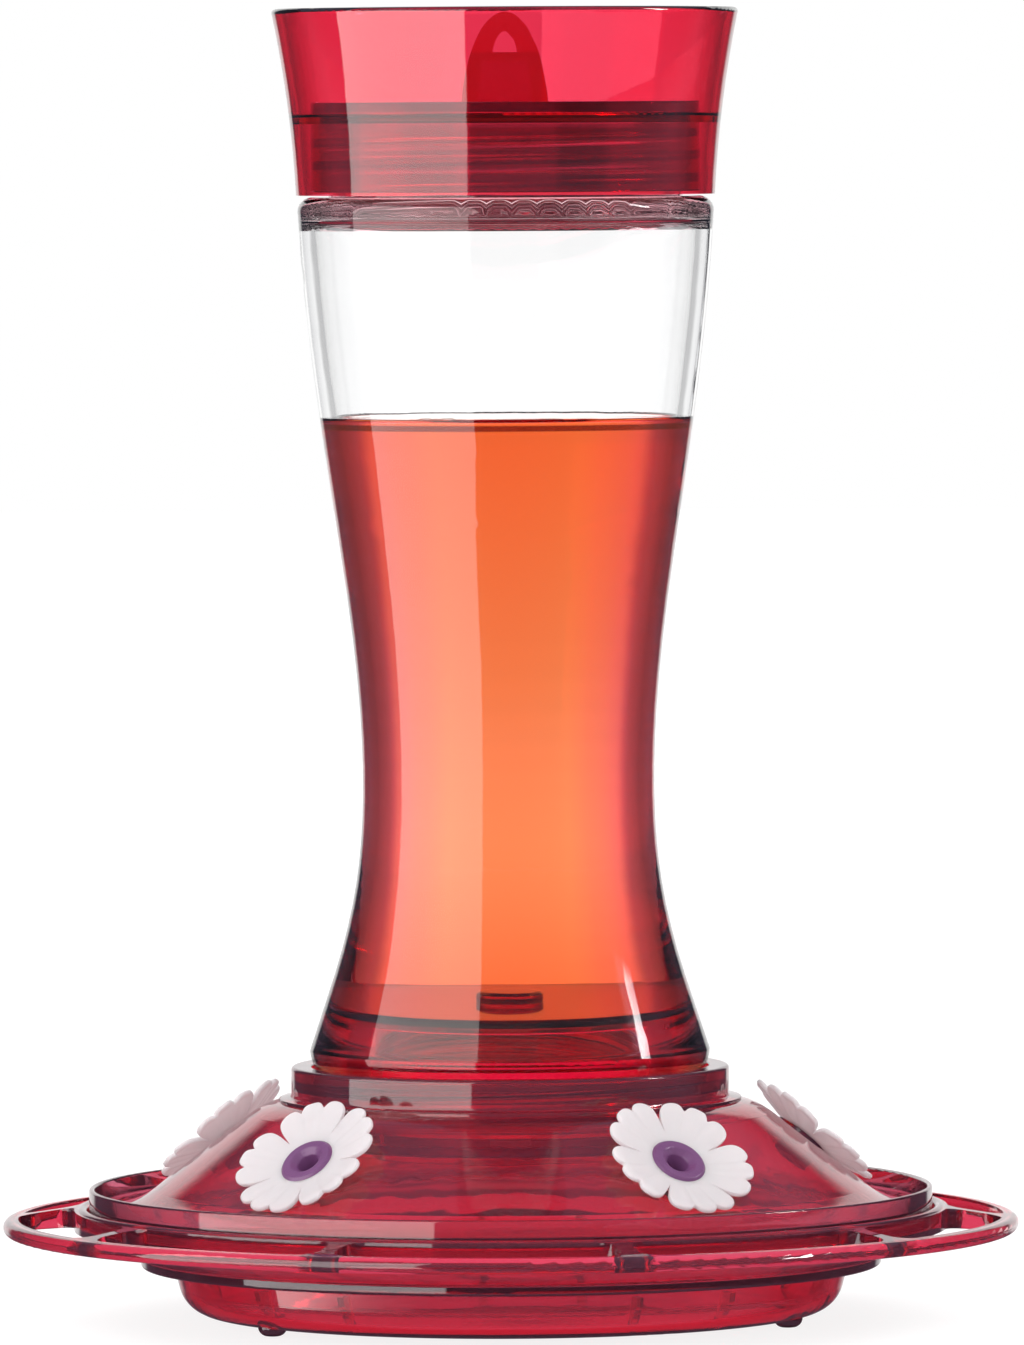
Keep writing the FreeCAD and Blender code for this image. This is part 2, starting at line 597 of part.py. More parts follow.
def moat_cap():
    """Cap: flared moat wall, stepped floor, threaded skirt and hook eye."""
    flare = Part.Arc(
        Vector(CAP_BOTTOM_RADIUS, 0, CAP_BOTTOM),
        Vector(CAP_MIDDLE_RADIUS, 0, CAP_MIDDLE_HEIGHT),
        Vector(CAP_TOP_RADIUS, 0, CAP_TOP - 0.9),
    ).toShape()
    inside = flare.copy()
    inside.translate(Vector(-PLASTIC_WALL, 0, 0))
    inside_foot = inside.Vertexes[0].Point
    inside_top = inside.Vertexes[-1].Point
    flare_top = flare.Vertexes[-1].Point
    rim = Part.Arc(flare_top, Vector(CAP_TOP_RADIUS - PLASTIC_WALL / 2, 0, CAP_TOP), inside_top)
    foot_line = Part.LineSegment(inside_foot, flare.Vertexes[0].Point)
    wall = turned([flare, inside, rim.toShape(), foot_line.toShape()])
    lid = turned_corners(
        (0, MOAT_FLOOR),
        (LID_RADIUS, MOAT_FLOOR, 0.5),
        (LID_RADIUS, LEDGE_TOP),
        (CAP_MIDDLE_RADIUS - PLASTIC_WALL / 2, LEDGE_TOP),
        (CAP_MIDDLE_RADIUS - PLASTIC_WALL / 2, LEDGE_TOP - PLASTIC_WALL),
        (LID_RADIUS, LEDGE_TOP - PLASTIC_WALL),
        (LID_RADIUS, SHOULDER_PLANE + 1.2, 0.5),
        (LID_RADIUS - SKIRT_WALL, SHOULDER_PLANE + 1.2, 0.5),
        (LID_RADIUS - SKIRT_WALL, LID_UNDERSIDE, 0.6),
        (0, LID_UNDERSIDE),
    )
    cap = wall.fuse(lid).fuse(hook_eye()).cut(plinth_core())
    return cap.removeSplitter()


def upright_oval(half_width, centre_height, top, thickness, foot_height):
    """A plate across the axis, the part of an oval that stands above a level."""
    oval = Part.Ellipse(Vector(0, 0, 0), top - centre_height, half_width).toShape()
    oval.rotate(Vector(0, 0, 0), Vector(0, 0, 1), 90)
    oval.rotate(Vector(0, 0, 0), Vector(1, 0, 0), 90)
    oval.translate(Vector(0, thickness / 2, centre_height))
    plate = Part.Face(Part.Wire(oval)).extrude(Vector(0, -thickness, 0))
    corner = Vector(-half_width - 1, -thickness / 2 - 1, foot_height)
    above = Part.makeBox(2 * half_width + 2, thickness + 2, top, corner)
    return plate.common(above)


def hook_eye():
    """Thin arch on a thicker plinth, with the hole for the hanger's hook."""
    arch = upright_oval(EYE_HALF_WIDTH, EYE_CENTRE_HEIGHT, EYE_TOP, EYE_THICKNESS,
                        MOAT_FLOOR - PLASTIC_WALL / 2)
    plinth = upright_oval(EYE_HALF_WIDTH, EYE_CENTRE_HEIGHT, EYE_TOP, PLINTH_THICKNESS,
                          MOAT_FLOOR - PLASTIC_WALL / 2)
    below = Part.makeBox(4 * EYE_HALF_WIDTH, 2 * PLINTH_THICKNESS, PLINTH_TOP,
                         Vector(-2 * EYE_HALF_WIDTH, -PLINTH_THICKNESS, 0))
    hook = upright_oval(HOOK_HALF_WIDTH, HOOK_CENTRE_HEIGHT, HOOK_TOP, PLINTH_THICKNESS + 2,
                        PLINTH_TOP)
    return arch.fuse(plinth.common(below)).cut(hook)


def plinth_core():
    """The tapered hollow that cores the plinth from below."""
    half_depth = PLINTH_THICKNESS / 2 - PLINTH_WALL
    wires = []
    for height, half_width in (
        (LID_UNDERSIDE - 1, EYE_HALF_WIDTH - PLINTH_SIDE_WALL),
        (PLINTH_TOP - PLINTH_WALL, EYE_HALF_WIDTH - PLINTH_SIDE_WALL - 1.2),
    ):
        corners = [
            Vector(-half_width, -half_depth, height),
            Vector(half_width, -half_depth, height),
            Vector(half_width, half_depth, height),
            Vector(-half_width, half_depth, height),
        ]
        wires.append(Part.makePolygon(corners + corners[:1]))
    return Part.makeLoft(wires, True, True)


def cap_gasket():
    bottom = UPPER_LIP + FACE_GAP
    return turned_corners(
        (UPPER_BORE + 0.2, bottom, 0.3),
        (UPPER_NECK_RADIUS + 1.2, bottom, 0.3),
        (UPPER_NECK_RADIUS + 1.2, bottom + CAP_GASKET_THICKNESS, 0.3),
        (UPPER_BORE + 0.2, bottom + CAP_GASKET_THICKNESS, 0.3),
    )


def collar_seal():
    bottom = COLLAR_STEP + FACE_GAP
    return turned_corners(
        (LOWER_NECK_RADIUS + SLIDE_GAP, bottom),
        (COLLAR_MOUTH - SLIDE_GAP, bottom, 0.3),
        (COLLAR_MOUTH - SLIDE_GAP, bottom + COLLAR_SEAL_THICKNESS, 0.3),
        (LOWER_NECK_RADIUS + SLIDE_GAP, bottom + COLLAR_SEAL_THICKNESS),
    )


def valve_seal():
    return turned_corners(
        (PLUG_FLANGE_RADIUS + 0.3, SOCKET_FLOOR),
        (LOWER_NECK_RADIUS + 0.8, SOCKET_FLOOR, 0.3),
        (LOWER_NECK_RADIUS + 0.8, SOCKET_FLOOR + VALVE_SEAL_THICKNESS, 0.3),
        (PLUG_FLANGE_RADIUS + 0.3, SOCKET_FLOOR + VALVE_SEAL_THICKNESS, 0.3),
    )


def petal_outline(radius, turn):
    """Closed wire of five petals, each with three round lobes, slit between."""
    def at(share, angle):
        return around(radius * share, angle + turn, 0)

    pitch = 360 / PETAL_COUNT
    edges = []
    for index in range(PETAL_COUNT):
        middle = index * pitch
        start = at(0.86, middle - 32.5)
        first = at(0.955, middle - 11.0)
        second = at(0.955, middle + 11.0)
        end = at(0.86, middle + 32.5)
        edges.append(Part.Arc(start, at(0.975, middle - 22.5), first).toShape())
        edges.append(Part.Arc(first, at(1.0, middle), second).toShape())
        edges.append(Part.Arc(second, at(0.975, middle + 22.5), end).toShape())
        root = at(SLIT_ROOT_SHARE, middle + pitch / 2)
        edges.append(Part.LineSegment(end, root).toShape())
        edges.append(Part.LineSegment(root, at(0.86, middle + pitch - 32.5)).toShape())
    return edges


def cup_rise(radius):
    """How far the cupped flower has risen at a radius from its middle."""
    return CUP_CURVE - math.sqrt(CUP_CURVE ** 2 - radius ** 2)


def flower(index):
    """Five-petalled cupped plate with the hole for its port."""
    centre = Vector(0, 0, FLOWER_FRONT + CUP_CURVE)
    plate = prism(petal_outline(FLOWER_RADIUS, FLOWER_TURNS[index]), Vector(0, 0, 8))
    plate.translate(Vector(0, 0, FLOWER_BACK - 1))
    shell = Part.makeSphere(CUP_CURVE + FLOWER_THICKNESS, centre)
    hollow = Part.makeSphere(CUP_CURVE, centre)
    hole = Part.makeCylinder(PORT_STEM_RADIUS + PORT_FIT_GAP, 10, Vector(0, 0, -5))
    blank = plate.common(shell).cut(hollow).cut(hole)
    return on_port(blank, index)


def port(index):
    """Purple port: a rounded ring on a stem, with a funnel into the feeding hole."""
    seat = FLOWER_FRONT + FACE_GAP
    blank = turned_corners(
        (PORT_HOLE, -PORT_DISH_DEPTH, 1.0),
        (PORT_DISH_RADIUS - 0.5, -PORT_DISH_DEPTH * 0.25, 0.8),
        (PORT_DISH_RADIUS + 0.9, 0, 1.0),
        (PORT_RING_RADIUS - 0.6, 0, 0.5),
        (PORT_RING_RADIUS, seat + cup_rise(PORT_RING_RADIUS)),
        (PORT_STEM_RADIUS, seat + cup_rise(PORT_RING_RADIUS)),
        (PORT_STEM_RADIUS, -PORT_STEM_LENGTH, 0.6),
        (PORT_HOLE, -PORT_STEM_LENGTH),
    )
    return on_port(blank, index)


def write(name, shape):
    """Writes one node's solid after checking that it is one."""
    solids = shape.Solids
    if len(solids) != 1 or not shape.isValid():
        raise RuntimeError(f"{name}: {len(solids)} solids, valid {shape.isValid()}")
    solids[0].exportStep(os.path.join("parts", name + ".step"))
    print(f"{name}: {solids[0].Volume / 1000:.2f} cm3")


def main():
    os.makedirs("parts", exist_ok=True)
    pieces = {
        "base_tray": base_tray(),
        "tray_seal": tray_seal(),
        "feeder_deck": feeder_deck(),
        "flow_plug": flow_plug(),
        "valve_seal": valve_seal(),
        "collar_seal": collar_seal(),
        "glass_bottle": glass_bottle(),
        "nectar": nectar(),
        "cap_gasket": cap_gasket(),
        "moat_cap": moat_cap(),
    }
    for index in range(PORT_COUNT):
        pieces[f"flower_{index + 1}"] = flower(index)
        pieces[f"port_{index + 1}"] = port(index)
    for name, shape in pieces.items():
        write(name, shape)


main()
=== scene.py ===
# %% [markdown]
# # A hummingbird feeder in clear red plastic and glass
# The shapes come from the feeder's CAD model, in metres, with the feet on the floor and the
# front of the feeder towards -Y. This lesson dresses them: a studio, the finishes, the
# nectar, the plug under it, the flowers and the screw threads.

# %% Load the frame
import math

import bmesh
import bpy
from mathutils import Matrix, Vector
from mathutils.bvhtree import BVHTree


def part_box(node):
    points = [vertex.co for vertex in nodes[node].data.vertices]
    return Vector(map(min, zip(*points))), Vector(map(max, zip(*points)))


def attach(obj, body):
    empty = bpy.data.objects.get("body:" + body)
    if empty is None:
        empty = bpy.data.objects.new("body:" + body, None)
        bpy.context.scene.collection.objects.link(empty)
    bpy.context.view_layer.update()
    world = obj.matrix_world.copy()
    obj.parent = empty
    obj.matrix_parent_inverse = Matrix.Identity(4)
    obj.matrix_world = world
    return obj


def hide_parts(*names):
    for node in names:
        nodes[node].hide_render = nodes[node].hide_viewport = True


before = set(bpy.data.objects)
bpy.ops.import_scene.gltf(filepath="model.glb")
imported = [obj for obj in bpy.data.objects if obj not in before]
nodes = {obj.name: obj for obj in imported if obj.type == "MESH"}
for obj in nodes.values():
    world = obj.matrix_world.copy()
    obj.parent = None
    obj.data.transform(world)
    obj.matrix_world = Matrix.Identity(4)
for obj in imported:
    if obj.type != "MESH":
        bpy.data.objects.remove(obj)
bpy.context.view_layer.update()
MM = 0.001

# %% [markdown]
# ## The camera
# The photograph was taken from about three metres with a long lens, a little above the
# feeder's middle. Lines that recede hardly converge, and the horizon lies near the top of
# the frame, so the camera stands at the height of the bottle's neck and looks slightly down.

# %% Camera
CAMERA_DISTANCE = 3.003
CAMERA_HEIGHT = 0.275
CAMERA_PITCH = math.radians(2.45)
CAMERA_ROLL = math.radians(0.3)
CAMERA_SIDE = 0.0009
SENSOR_HEIGHT = 24.0
FOCAL_PIXELS = 13287
FRAME_HEIGHT_PIXELS = 1345
FARTHEST_SEEN = 50.0

camera_data = bpy.data.cameras.new("camera")
camera_data.sensor_fit = "VERTICAL"
camera_data.sensor_height = SENSOR_HEIGHT
camera_data.lens = SENSOR_HEIGHT * FOCAL_PIXELS / FRAME_HEIGHT_PIXELS
camera_data.clip_end = FARTHEST_SEEN
camera = bpy.data.objects.new("camera", camera_data)
camera.matrix_world = (
    Matrix.Translation((CAMERA_SIDE, -CAMERA_DISTANCE, CAMERA_HEIGHT))
    @ Matrix.Rotation(math.pi / 2 - CAMERA_PITCH, 4, "X")
    @ Matrix.Rotation(-CAMERA_ROLL, 4, "Z")
)
bpy.context.scene.collection.objects.link(camera)
bpy.context.scene.camera = camera
bpy.context.scene.view_settings.view_transform = "Standard"
print("lens, mm:", round(camera_data.lens, 1))

# %% [markdown]
# ## Helpers for node trees
# Materials, the world and the screw threads are all node trees. One small function adds a
# node, sets its options and either fills in its inputs or links them. The others are the few
# steps that come back all the time: sums, soft steps, bands and blends of two colours.

# %% Node helpers
def add(tree, kind, inputs=None, **options):
    """Adds a node; an input may be a value or another node's output socket."""
    made = tree.nodes.new(kind)
    for name, value in options.items():
        setattr(made, name, value)
    for key, value in (inputs or {}).items():
        if isinstance(value, bpy.types.NodeSocket):
            tree.links.new(value, made.inputs[key])
        else:
            made.inputs[key].default_value = value
    return made


def maths(tree, operation, first, second=0.0):
    """A Math node's result."""
    return add(tree, "ShaderNodeMath", {0: first, 1: second}, operation=operation).outputs[0]


def times(tree, first, second):
    """The product of two values."""
    return maths(tree, "MULTIPLY", first, second)


def plus(tree, first, second):
    """The sum of two values."""
    return maths(tree, "ADD", first, second)


def opposite(tree, value):
    """1 minus a value."""
    return maths(tree, "SUBTRACT", 1.0, value)


def ramp_between(tree, value, low, high):
    """0 below low, 1 above high, and a smooth step between them."""
    made = add(
        tree, "ShaderNodeMapRange",
        {"Value": value, "From Min": low, "From Max": high},
        interpolation_type="SMOOTHSTEP",
    )
    return made.outputs["Result"]


def inside_band(tree, value, low, high, soft):
    """1 where the value lies between low and high, with soft edges."""
    rises = ramp_between(tree, value, low - soft, low + soft)
    falls = opposite(tree, ramp_between(tree, value, high - soft, high + soft))
    return times(tree, rises, falls)


def colour_ramp(tree, value, stops):
    """A colour that changes evenly with a value, from stops of (value, colour)."""
    made = add(tree, "ShaderNodeValToRGB", {0: value})
    spots = made.color_ramp.elements
    while len(spots) < len(stops):
        spots.new(0.5)
    for spot, (place, colour) in zip(spots, stops):
        spot.position = place
        spot.color = (*colour, 1)
    return made.outputs[0]


def blend(tree, factor, plain, chosen, **options):
    """One colour where the factor is 0, the other where it is 1."""
    inputs = {"Factor": factor}
    for key, colour in ((6, plain), (7, chosen)):
        inputs[key] = colour if isinstance(colour, bpy.types.NodeSocket) else (*colour, 1)
    return add(tree, "ShaderNodeMix", inputs, data_type="RGBA", **options).outputs[2]


def pick(tree, chooser, otherwise, chosen):
    """One number where the chooser is 0, the other where it is 1."""
    made = add(tree, "ShaderNodeMix", {"Factor": chooser, 2: otherwise, 3: chosen}, data_type="FLOAT")
    return made.outputs[0]


def edge_on(tree):
    """0 where a surface is seen squarely, 1 where it is seen edge on."""
    return add(tree, "ShaderNodeLayerWeight", {"Blend": 0.5}).outputs["Facing"]


def object_place(tree):
    """The place of the shaded point on its piece."""
    return add(tree, "ShaderNodeTexCoord").outputs["Object"]


def parts_of(tree, vector):
    """The X, Y and Z of a vector."""
    return add(tree, "ShaderNodeSeparateXYZ", {0: vector}).outputs


def noise(tree, place, scale, detail):
    """A soft noise between 0 and 1."""
    made = add(tree, "ShaderNodeTexNoise", {"Vector": place, "Scale": scale, "Detail": detail})
    return made.outputs["Fac"]


def relief(tree, height, strength, depth):
    """A surface normal with a fine relief."""
    made = add(tree, "ShaderNodeBump", {"Strength": strength, "Distance": depth, "Height": height})
    return made.outputs["Normal"]


def new_finish(name):
    """A material without nodes, and its tree."""
    made = bpy.data.materials.new(name)
    made.use_nodes = True
    made.node_tree.nodes.clear()
    return made, made.node_tree


def degrees(low, high):
    """A pair of angles, written in degrees."""
    return math.radians(low), math.radians(high)


# %% [markdown]
# ## The studio
# Clear things show their surroundings more than themselves, so the studio is designed by
# direction: a tall soft box on the left, a small bright lamp high on the right, a white card
# behind, and mauve dusk between them, darkest low down behind the feeder. That is what a
# reflection sees. Light that has gone through glass or plastic sees white with soft grey gaps
# at the corners of the room, so that a thick wall of glass gets a grey edge whichever side it
# is seen from. Matte surfaces get an even light from all round, and the camera sees plain
# white. Azimuth 0 is the side of the camera, and -90 degrees is on its left.

# %% World
SOFT_BOX_LEFT = degrees(-94, -20.5)
SOFT_BOX_RISE = degrees(-30, 42)
SOFT_BOX_EDGES = degrees(0.5, 4.0)
SOFT_BOX_LEVEL = 3.8
SOFT_BOX_SEEN_THROUGH = 2.6
SOFT_BOX_ON_MATTE = 0.7
LAMP_RIGHT = degrees(86, 92.5)
LAMP_RISE = degrees(21, 40)
LAMP_EDGES = degrees(0.6, 2.0)
LAMP_LEVEL = 22.0
LAMP_SEEN_THROUGH = 25.0
CARD_EDGE = degrees(157, 163)
CARD_RISE = degrees(-8, 27)
CARD_SOFTNESS = math.radians(3.0)
DUSK = (0.30, 0.29, 0.42)
BLACK = (0.0, 0.0, 0.0)
WHITE = (1.0, 1.0, 1.0)
DARKER_BEHIND = 0.78
BEHIND = degrees(95, 130)
BEHIND_RISE = degrees(22, 40)
DARKER_BELOW = 0.85
BELOW_RISE = degrees(-24, -11)
BELOW_SOFTNESS = math.radians(4)
CORNER_WIDTH = (0.80, 0.93)
CORNER_RISE = (0.5, 0.8)
CORNER_DEPTH = 0.5
THROUGH_LEVEL = 0.96
THROUGH_LIFT = 0.26
LIFT_RISE = degrees(-9, 4)
MATTE_LEVEL = 1.32
OVERHEAD_RISE = degrees(35, 60)
OVERHEAD_ON_MATTE = 0.35

world = bpy.data.worlds.new("studio")
world.use_nodes = True
bpy.context.scene.world = world
sky = world.node_tree
sky.nodes.clear()
toward = parts_of(sky, add(sky, "ShaderNodeTexCoord").outputs["Generated"])
azimuth = maths(sky, "ARCTAN2", toward["X"], times(sky, toward["Y"], -1.0))
elevation = maths(sky, "ARCSINE", toward["Z"])
turn = maths(sky, "ABSOLUTE", azimuth)

soft_box = times(
    sky,
    inside_band(sky, azimuth, *SOFT_BOX_LEFT, SOFT_BOX_EDGES[0]),
    inside_band(sky, elevation, *SOFT_BOX_RISE, SOFT_BOX_EDGES[1]),
)
lamp = times(
    sky,
    inside_band(sky, azimuth, *LAMP_RIGHT, LAMP_EDGES[0]),
    inside_band(sky, elevation, *LAMP_RISE, LAMP_EDGES[1]),
)
white_card = times(
    sky, ramp_between(sky, turn, *CARD_EDGE),
    inside_band(sky, elevation, *CARD_RISE, CARD_SOFTNESS),
)
in_the_light = maths(sky, "MAXIMUM", maths(sky, "MAXIMUM", soft_box, lamp), white_card)

mirror_level = plus(sky, times(sky, soft_box, SOFT_BOX_LEVEL - 1.0), 1.0)
mirror_level = plus(sky, mirror_level, times(sky, lamp, LAMP_LEVEL - 1.0))

corners = maths(sky, "ABSOLUTE", maths(sky, "SINE", times(sky, azimuth, 2.0)))
level_ahead = opposite(sky, ramp_between(sky, maths(sky, "ABSOLUTE", elevation), *CORNER_RISE))
corner_gap = times(sky, ramp_between(sky, corners, *CORNER_WIDTH), level_ahead)
through_level = opposite(sky, times(sky, corner_gap, CORNER_DEPTH))
lift = times(sky, opposite(sky, ramp_between(sky, elevation, *LIFT_RISE)), THROUGH_LIFT)
through_level = times(sky, through_level, plus(sky, lift, THROUGH_LEVEL))
through_level = plus(sky, through_level, times(sky, soft_box, SOFT_BOX_SEEN_THROUGH - 1.0))
through_level = plus(sky, through_level, times(sky, lamp, LAMP_SEEN_THROUGH))

matte_level = plus(sky, times(sky, soft_box, SOFT_BOX_ON_MATTE), MATTE_LEVEL)
overhead = ramp_between(sky, elevation, *OVERHEAD_RISE)
matte_level = plus(sky, matte_level, times(sky, overhead, OVERHEAD_ON_MATTE))

path = add(sky, "ShaderNodeLightPath").outputs
level = pick(sky, path["Is Glossy Ray"], matte_level, mirror_level)
level = pick(sky, path["Is Transmission Ray"], level, through_level)
level = pick(sky, path["Is Camera Ray"], level, 1.0)

mirrored = maths(sky, "SUBTRACT", path["Is Glossy Ray"], path["Is Transmission Ray"])
dim = times(sky, maths(sky, "MAXIMUM", mirrored, 0.0), opposite(sky, in_the_light))
low_down = opposite(sky, ramp_between(sky, elevation, *BEHIND_RISE))
darker_behind = times(sky, times(sky, ramp_between(sky, turn, *BEHIND), DARKER_BEHIND), low_down)
darker_below = times(sky, inside_band(sky, elevation, *BELOW_RISE, BELOW_SOFTNESS), DARKER_BELOW)
unlit = blend(sky, maths(sky, "MAXIMUM", darker_behind, darker_below), DUSK, BLACK)
hue = blend(sky, dim, WHITE, unlit)
background = add(sky, "ShaderNodeBackground", {"Color": hue, "Strength": level})
add(sky, "ShaderNodeOutputWorld", {"Surface": background.outputs[0]})

# %% [markdown]
# A ray through the base crosses a dozen faces before it is out again. With Blender's usual
# number of bounces it would end inside and come back black.

# %% Bounces
CLEAR_BOUNCES = 32
MIRROR_BOUNCES = 12

light_paths = bpy.context.scene.cycles
light_paths.max_bounces = CLEAR_BOUNCES
light_paths.transmission_bounces = CLEAR_BOUNCES
light_paths.transparent_max_bounces = CLEAR_BOUNCES
light_paths.glossy_bounces = MIRROR_BOUNCES
print("the studio has", len(sky.nodes), "nodes")

# %% [markdown]
# ## The floor
# The sweep under the feeder is pale enough to run into the background. Most of what the
# camera sees of it is plain white, and the rest is matte, so that a soft shadow stays. Light
# that was mirrored or bent looks through it at the studio, which goes on below it.

# %% Floor
FLOOR_RADIUS = 6.0
FLOOR_HEIGHT = -0.0002
FLOOR_CORNERS = 96
SHADOW_SHARE = 0.20
PLAIN_WHITE = 0.85
BOUNCED_LIGHT = 0.75

rim = []
for corner in range(FLOOR_CORNERS):
    turn_round = 2 * math.pi * corner / FLOOR_CORNERS
    rim.append((FLOOR_RADIUS * math.cos(turn_round), FLOOR_RADIUS * math.sin(turn_round), FLOOR_HEIGHT))
floor_mesh = bpy.data.meshes.new("floor")
floor_mesh.from_pydata(rim, [], [list(range(FLOOR_CORNERS))])
floor = bpy.data.objects.new("floor", floor_mesh)
bpy.context.scene.collection.objects.link(floor)

sweep, tree = new_finish("white_sweep")
matte = add(tree, "ShaderNodeBsdfDiffuse", {"Color": (SHADOW_SHARE, SHADOW_SHARE, SHADOW_SHARE, 1)})
white = add(tree, "ShaderNodeEmission", {"Color": (*WHITE, 1), "Strength": PLAIN_WHITE})
seen = add(tree, "ShaderNodeAddShader", {0: matte.outputs[0], 1: white.outputs[0]})
plain = add(tree, "ShaderNodeBsdfDiffuse", {"Color": (BOUNCED_LIGHT, BOUNCED_LIGHT, BOUNCED_LIGHT, 1)})
open_air = add(tree, "ShaderNodeBsdfTransparent")
path = add(tree, "ShaderNodeLightPath").outputs
solid = add(
    tree, "ShaderNodeMixShader",
    {0: path["Is Diffuse Ray"], 1: seen.outputs[0], 2: plain.outputs[0]},
)
bent = maths(tree, "MAXIMUM", path["Is Glossy Ray"], path["Is Transmission Ray"])
mixed = add(tree, "ShaderNodeMixShader", {0: bent, 1: solid.outputs[0], 2: open_air.outputs[0]})
add(tree, "ShaderNodeOutputMaterial", {"Surface": mixed.outputs[0]})
floor_mesh.materials.append(sweep)
print("floor of", FLOOR_RADIUS, "m radius")

# %% [markdown]
# ## Clear moulded plastic
# The cap and the base are styrene, dyed red through and through. A dye takes away light in
# proportion to the way the light goes inside the wall, so a thin wall is pink and a thick
# one, or four walls in a row, is a deep crimson. That is a volume's work and not a surface
# colour's. The surface only bends and mirrors the light, with the faint waviness of a mould.

# %% Clear plastic
WAVES_PER_METRE = 55.0
WAVE_DEPTH = 2 * MM
WEAR_PER_METRE = 900.0


def clear_plastic(name, dye, dye_density, bend=1.56, waviness=0.05, polish=0.02):
    """A dyed clear plastic with a slightly wavy, slightly worn skin."""
    made, tree = new_finish(name)
    place = object_place(tree)
    wear = add(
        tree, "ShaderNodeMapRange",
        {"Value": noise(tree, place, WEAR_PER_METRE, 3.0), "From Min": 0.3, "From Max": 0.75,
         "To Min": polish * 0.5, "To Max": polish * 1.6},
    )
    skin = add(
        tree, "ShaderNodeBsdfPrincipled",
        {"Base Color": (*WHITE, 1), "Roughness": wear.outputs["Result"], "IOR": bend,
         "Transmission Weight": 1.0,
         "Normal": relief(tree, noise(tree, place, WAVES_PER_METRE, 2.0), waviness, WAVE_DEPTH)},
    )
    inside = add(tree, "ShaderNodeVolumeAbsorption", {"Color": dye, "Density": dye_density})
    add(tree, "ShaderNodeOutputMaterial", {"Surface": skin.outputs[0], "Volume": inside.outputs[0]})
    return made


def node_of(material, kind):
    """The material's one node of a kind."""
    return next(node for node in material.node_tree.nodes if node.type == kind)


def skin_input(material, name):
    """An input of the material's Principled node."""
    return node_of(material, "BSDF_PRINCIPLED").inputs[name]


# %% [markdown]
# ## The red of the base
# A little of the light that falls on the base is scattered by the dye just under its skin, so
# its darkest places are still crimson and not black. A thin share of plain diffuse colour
# does that, and only on the outer skin, so that the view through the walls stays clear.

# %% Base plastic
HAZE_SHARE = 0.04

base_red = clear_plastic("base_red_plastic", (0.872, 0.05, 0.28, 1), 1000.0, bend=1.6)
tree = base_red.node_tree
haze = add(tree, "ShaderNodeBsdfDiffuse", {"Color": (0.90, 0.17, 0.32, 1)})
from_outside = opposite(tree, add(tree, "ShaderNodeNewGeometry").outputs["Backfacing"])
hazy = add(
    tree, "ShaderNodeMixShader",
    {0: times(tree, from_outside, HAZE_SHARE),
     1: node_of(base_red, "BSDF_PRINCIPLED").outputs[0], 2: haze.outputs[0]},
)
tree.links.new(hazy.outputs[0], node_of(base_red, "OUTPUT_MATERIAL").inputs["Surface"])
print("base plastic:", len(tree.nodes), "nodes")

# %% [markdown]
# ## The red of the plug
# The plug stands in the nectar. On its sides almost nothing is mirrored, because the liquid
# and the plastic bend light nearly alike. Its level top is seen so flatly that it mirrors the
# nectar over it, and all but vanishes in the orange until its front edge.

# %% Plug plastic
FAINT_GLOSS = (0.1, 0.1, 0.1)
LEVEL_FROM = 0.6
GLANCING = (0.85, 0.95)

plug_red = clear_plastic("plug_red_plastic", (0.94, 0.04, 0.50, 1), 1200.0, bend=1.8, waviness=0.0)
tree = plug_red.node_tree
normal = parts_of(tree, add(tree, "ShaderNodeNewGeometry").outputs["Normal"])
level_face = maths(tree, "GREATER_THAN", maths(tree, "ABSOLUTE", normal["Z"]), LEVEL_FROM)
tree.links.new(blend(tree, level_face, FAINT_GLOSS, WHITE), skin_input(plug_red, "Specular Tint"))
glancing = ramp_between(tree, edge_on(tree), *GLANCING)
tree.links.new(times(tree, level_face, glancing), skin_input(plug_red, "Metallic"))
print("plug plastic:", len(tree.nodes), "nodes")

# %% [markdown]
# ## The crimson of the cap
# The cap has the same walls in a deeper crimson. On its skirt's bore, level streaks of painted
# shade, with a few paler painted glints, stand in for the light that the threads and the film of
# nectar between them bend away, and more painted shade darkens them towards the sides. The
# streaks are a noise drawn out sideways, and lie only on the bore. Edges that turn away from
# the eye get painted shade, and so do the rounded edges of the hook eye in the middle of the moat.

# %% Cap plastic and the painted shade streaks in its skirt
SKIRT_BORE_REACH = 42.8 * MM
SKIRT_TOP = 273.8 * MM
STREAK_STRETCH = (8.0, 8.0, 760.0)
PAINTED_STREAK_SHADE = (
    (0.40, (0.03, 0.02, 0.025)), (0.54, (0.16, 0.08, 0.11)), (0.60, (0.85, 0.50, 0.55)),
)
PAINTED_BORE_SIDE_SHADE = ((0.10, WHITE), (0.15, (0.40, 0.38, 0.42)))
PAINTED_RIM_SHADE = ((0.55, WHITE), (0.85, (0.30, 0.22, 0.26)))
HOOK_REACH = 20.0 * MM
HOOK_FOOT = 275.2 * MM
PAINTED_HOOK_EDGE_SHADE = ((0.02, (0.80, 0.66, 0.84)), (0.12, (0.34, 0.20, 0.26)))

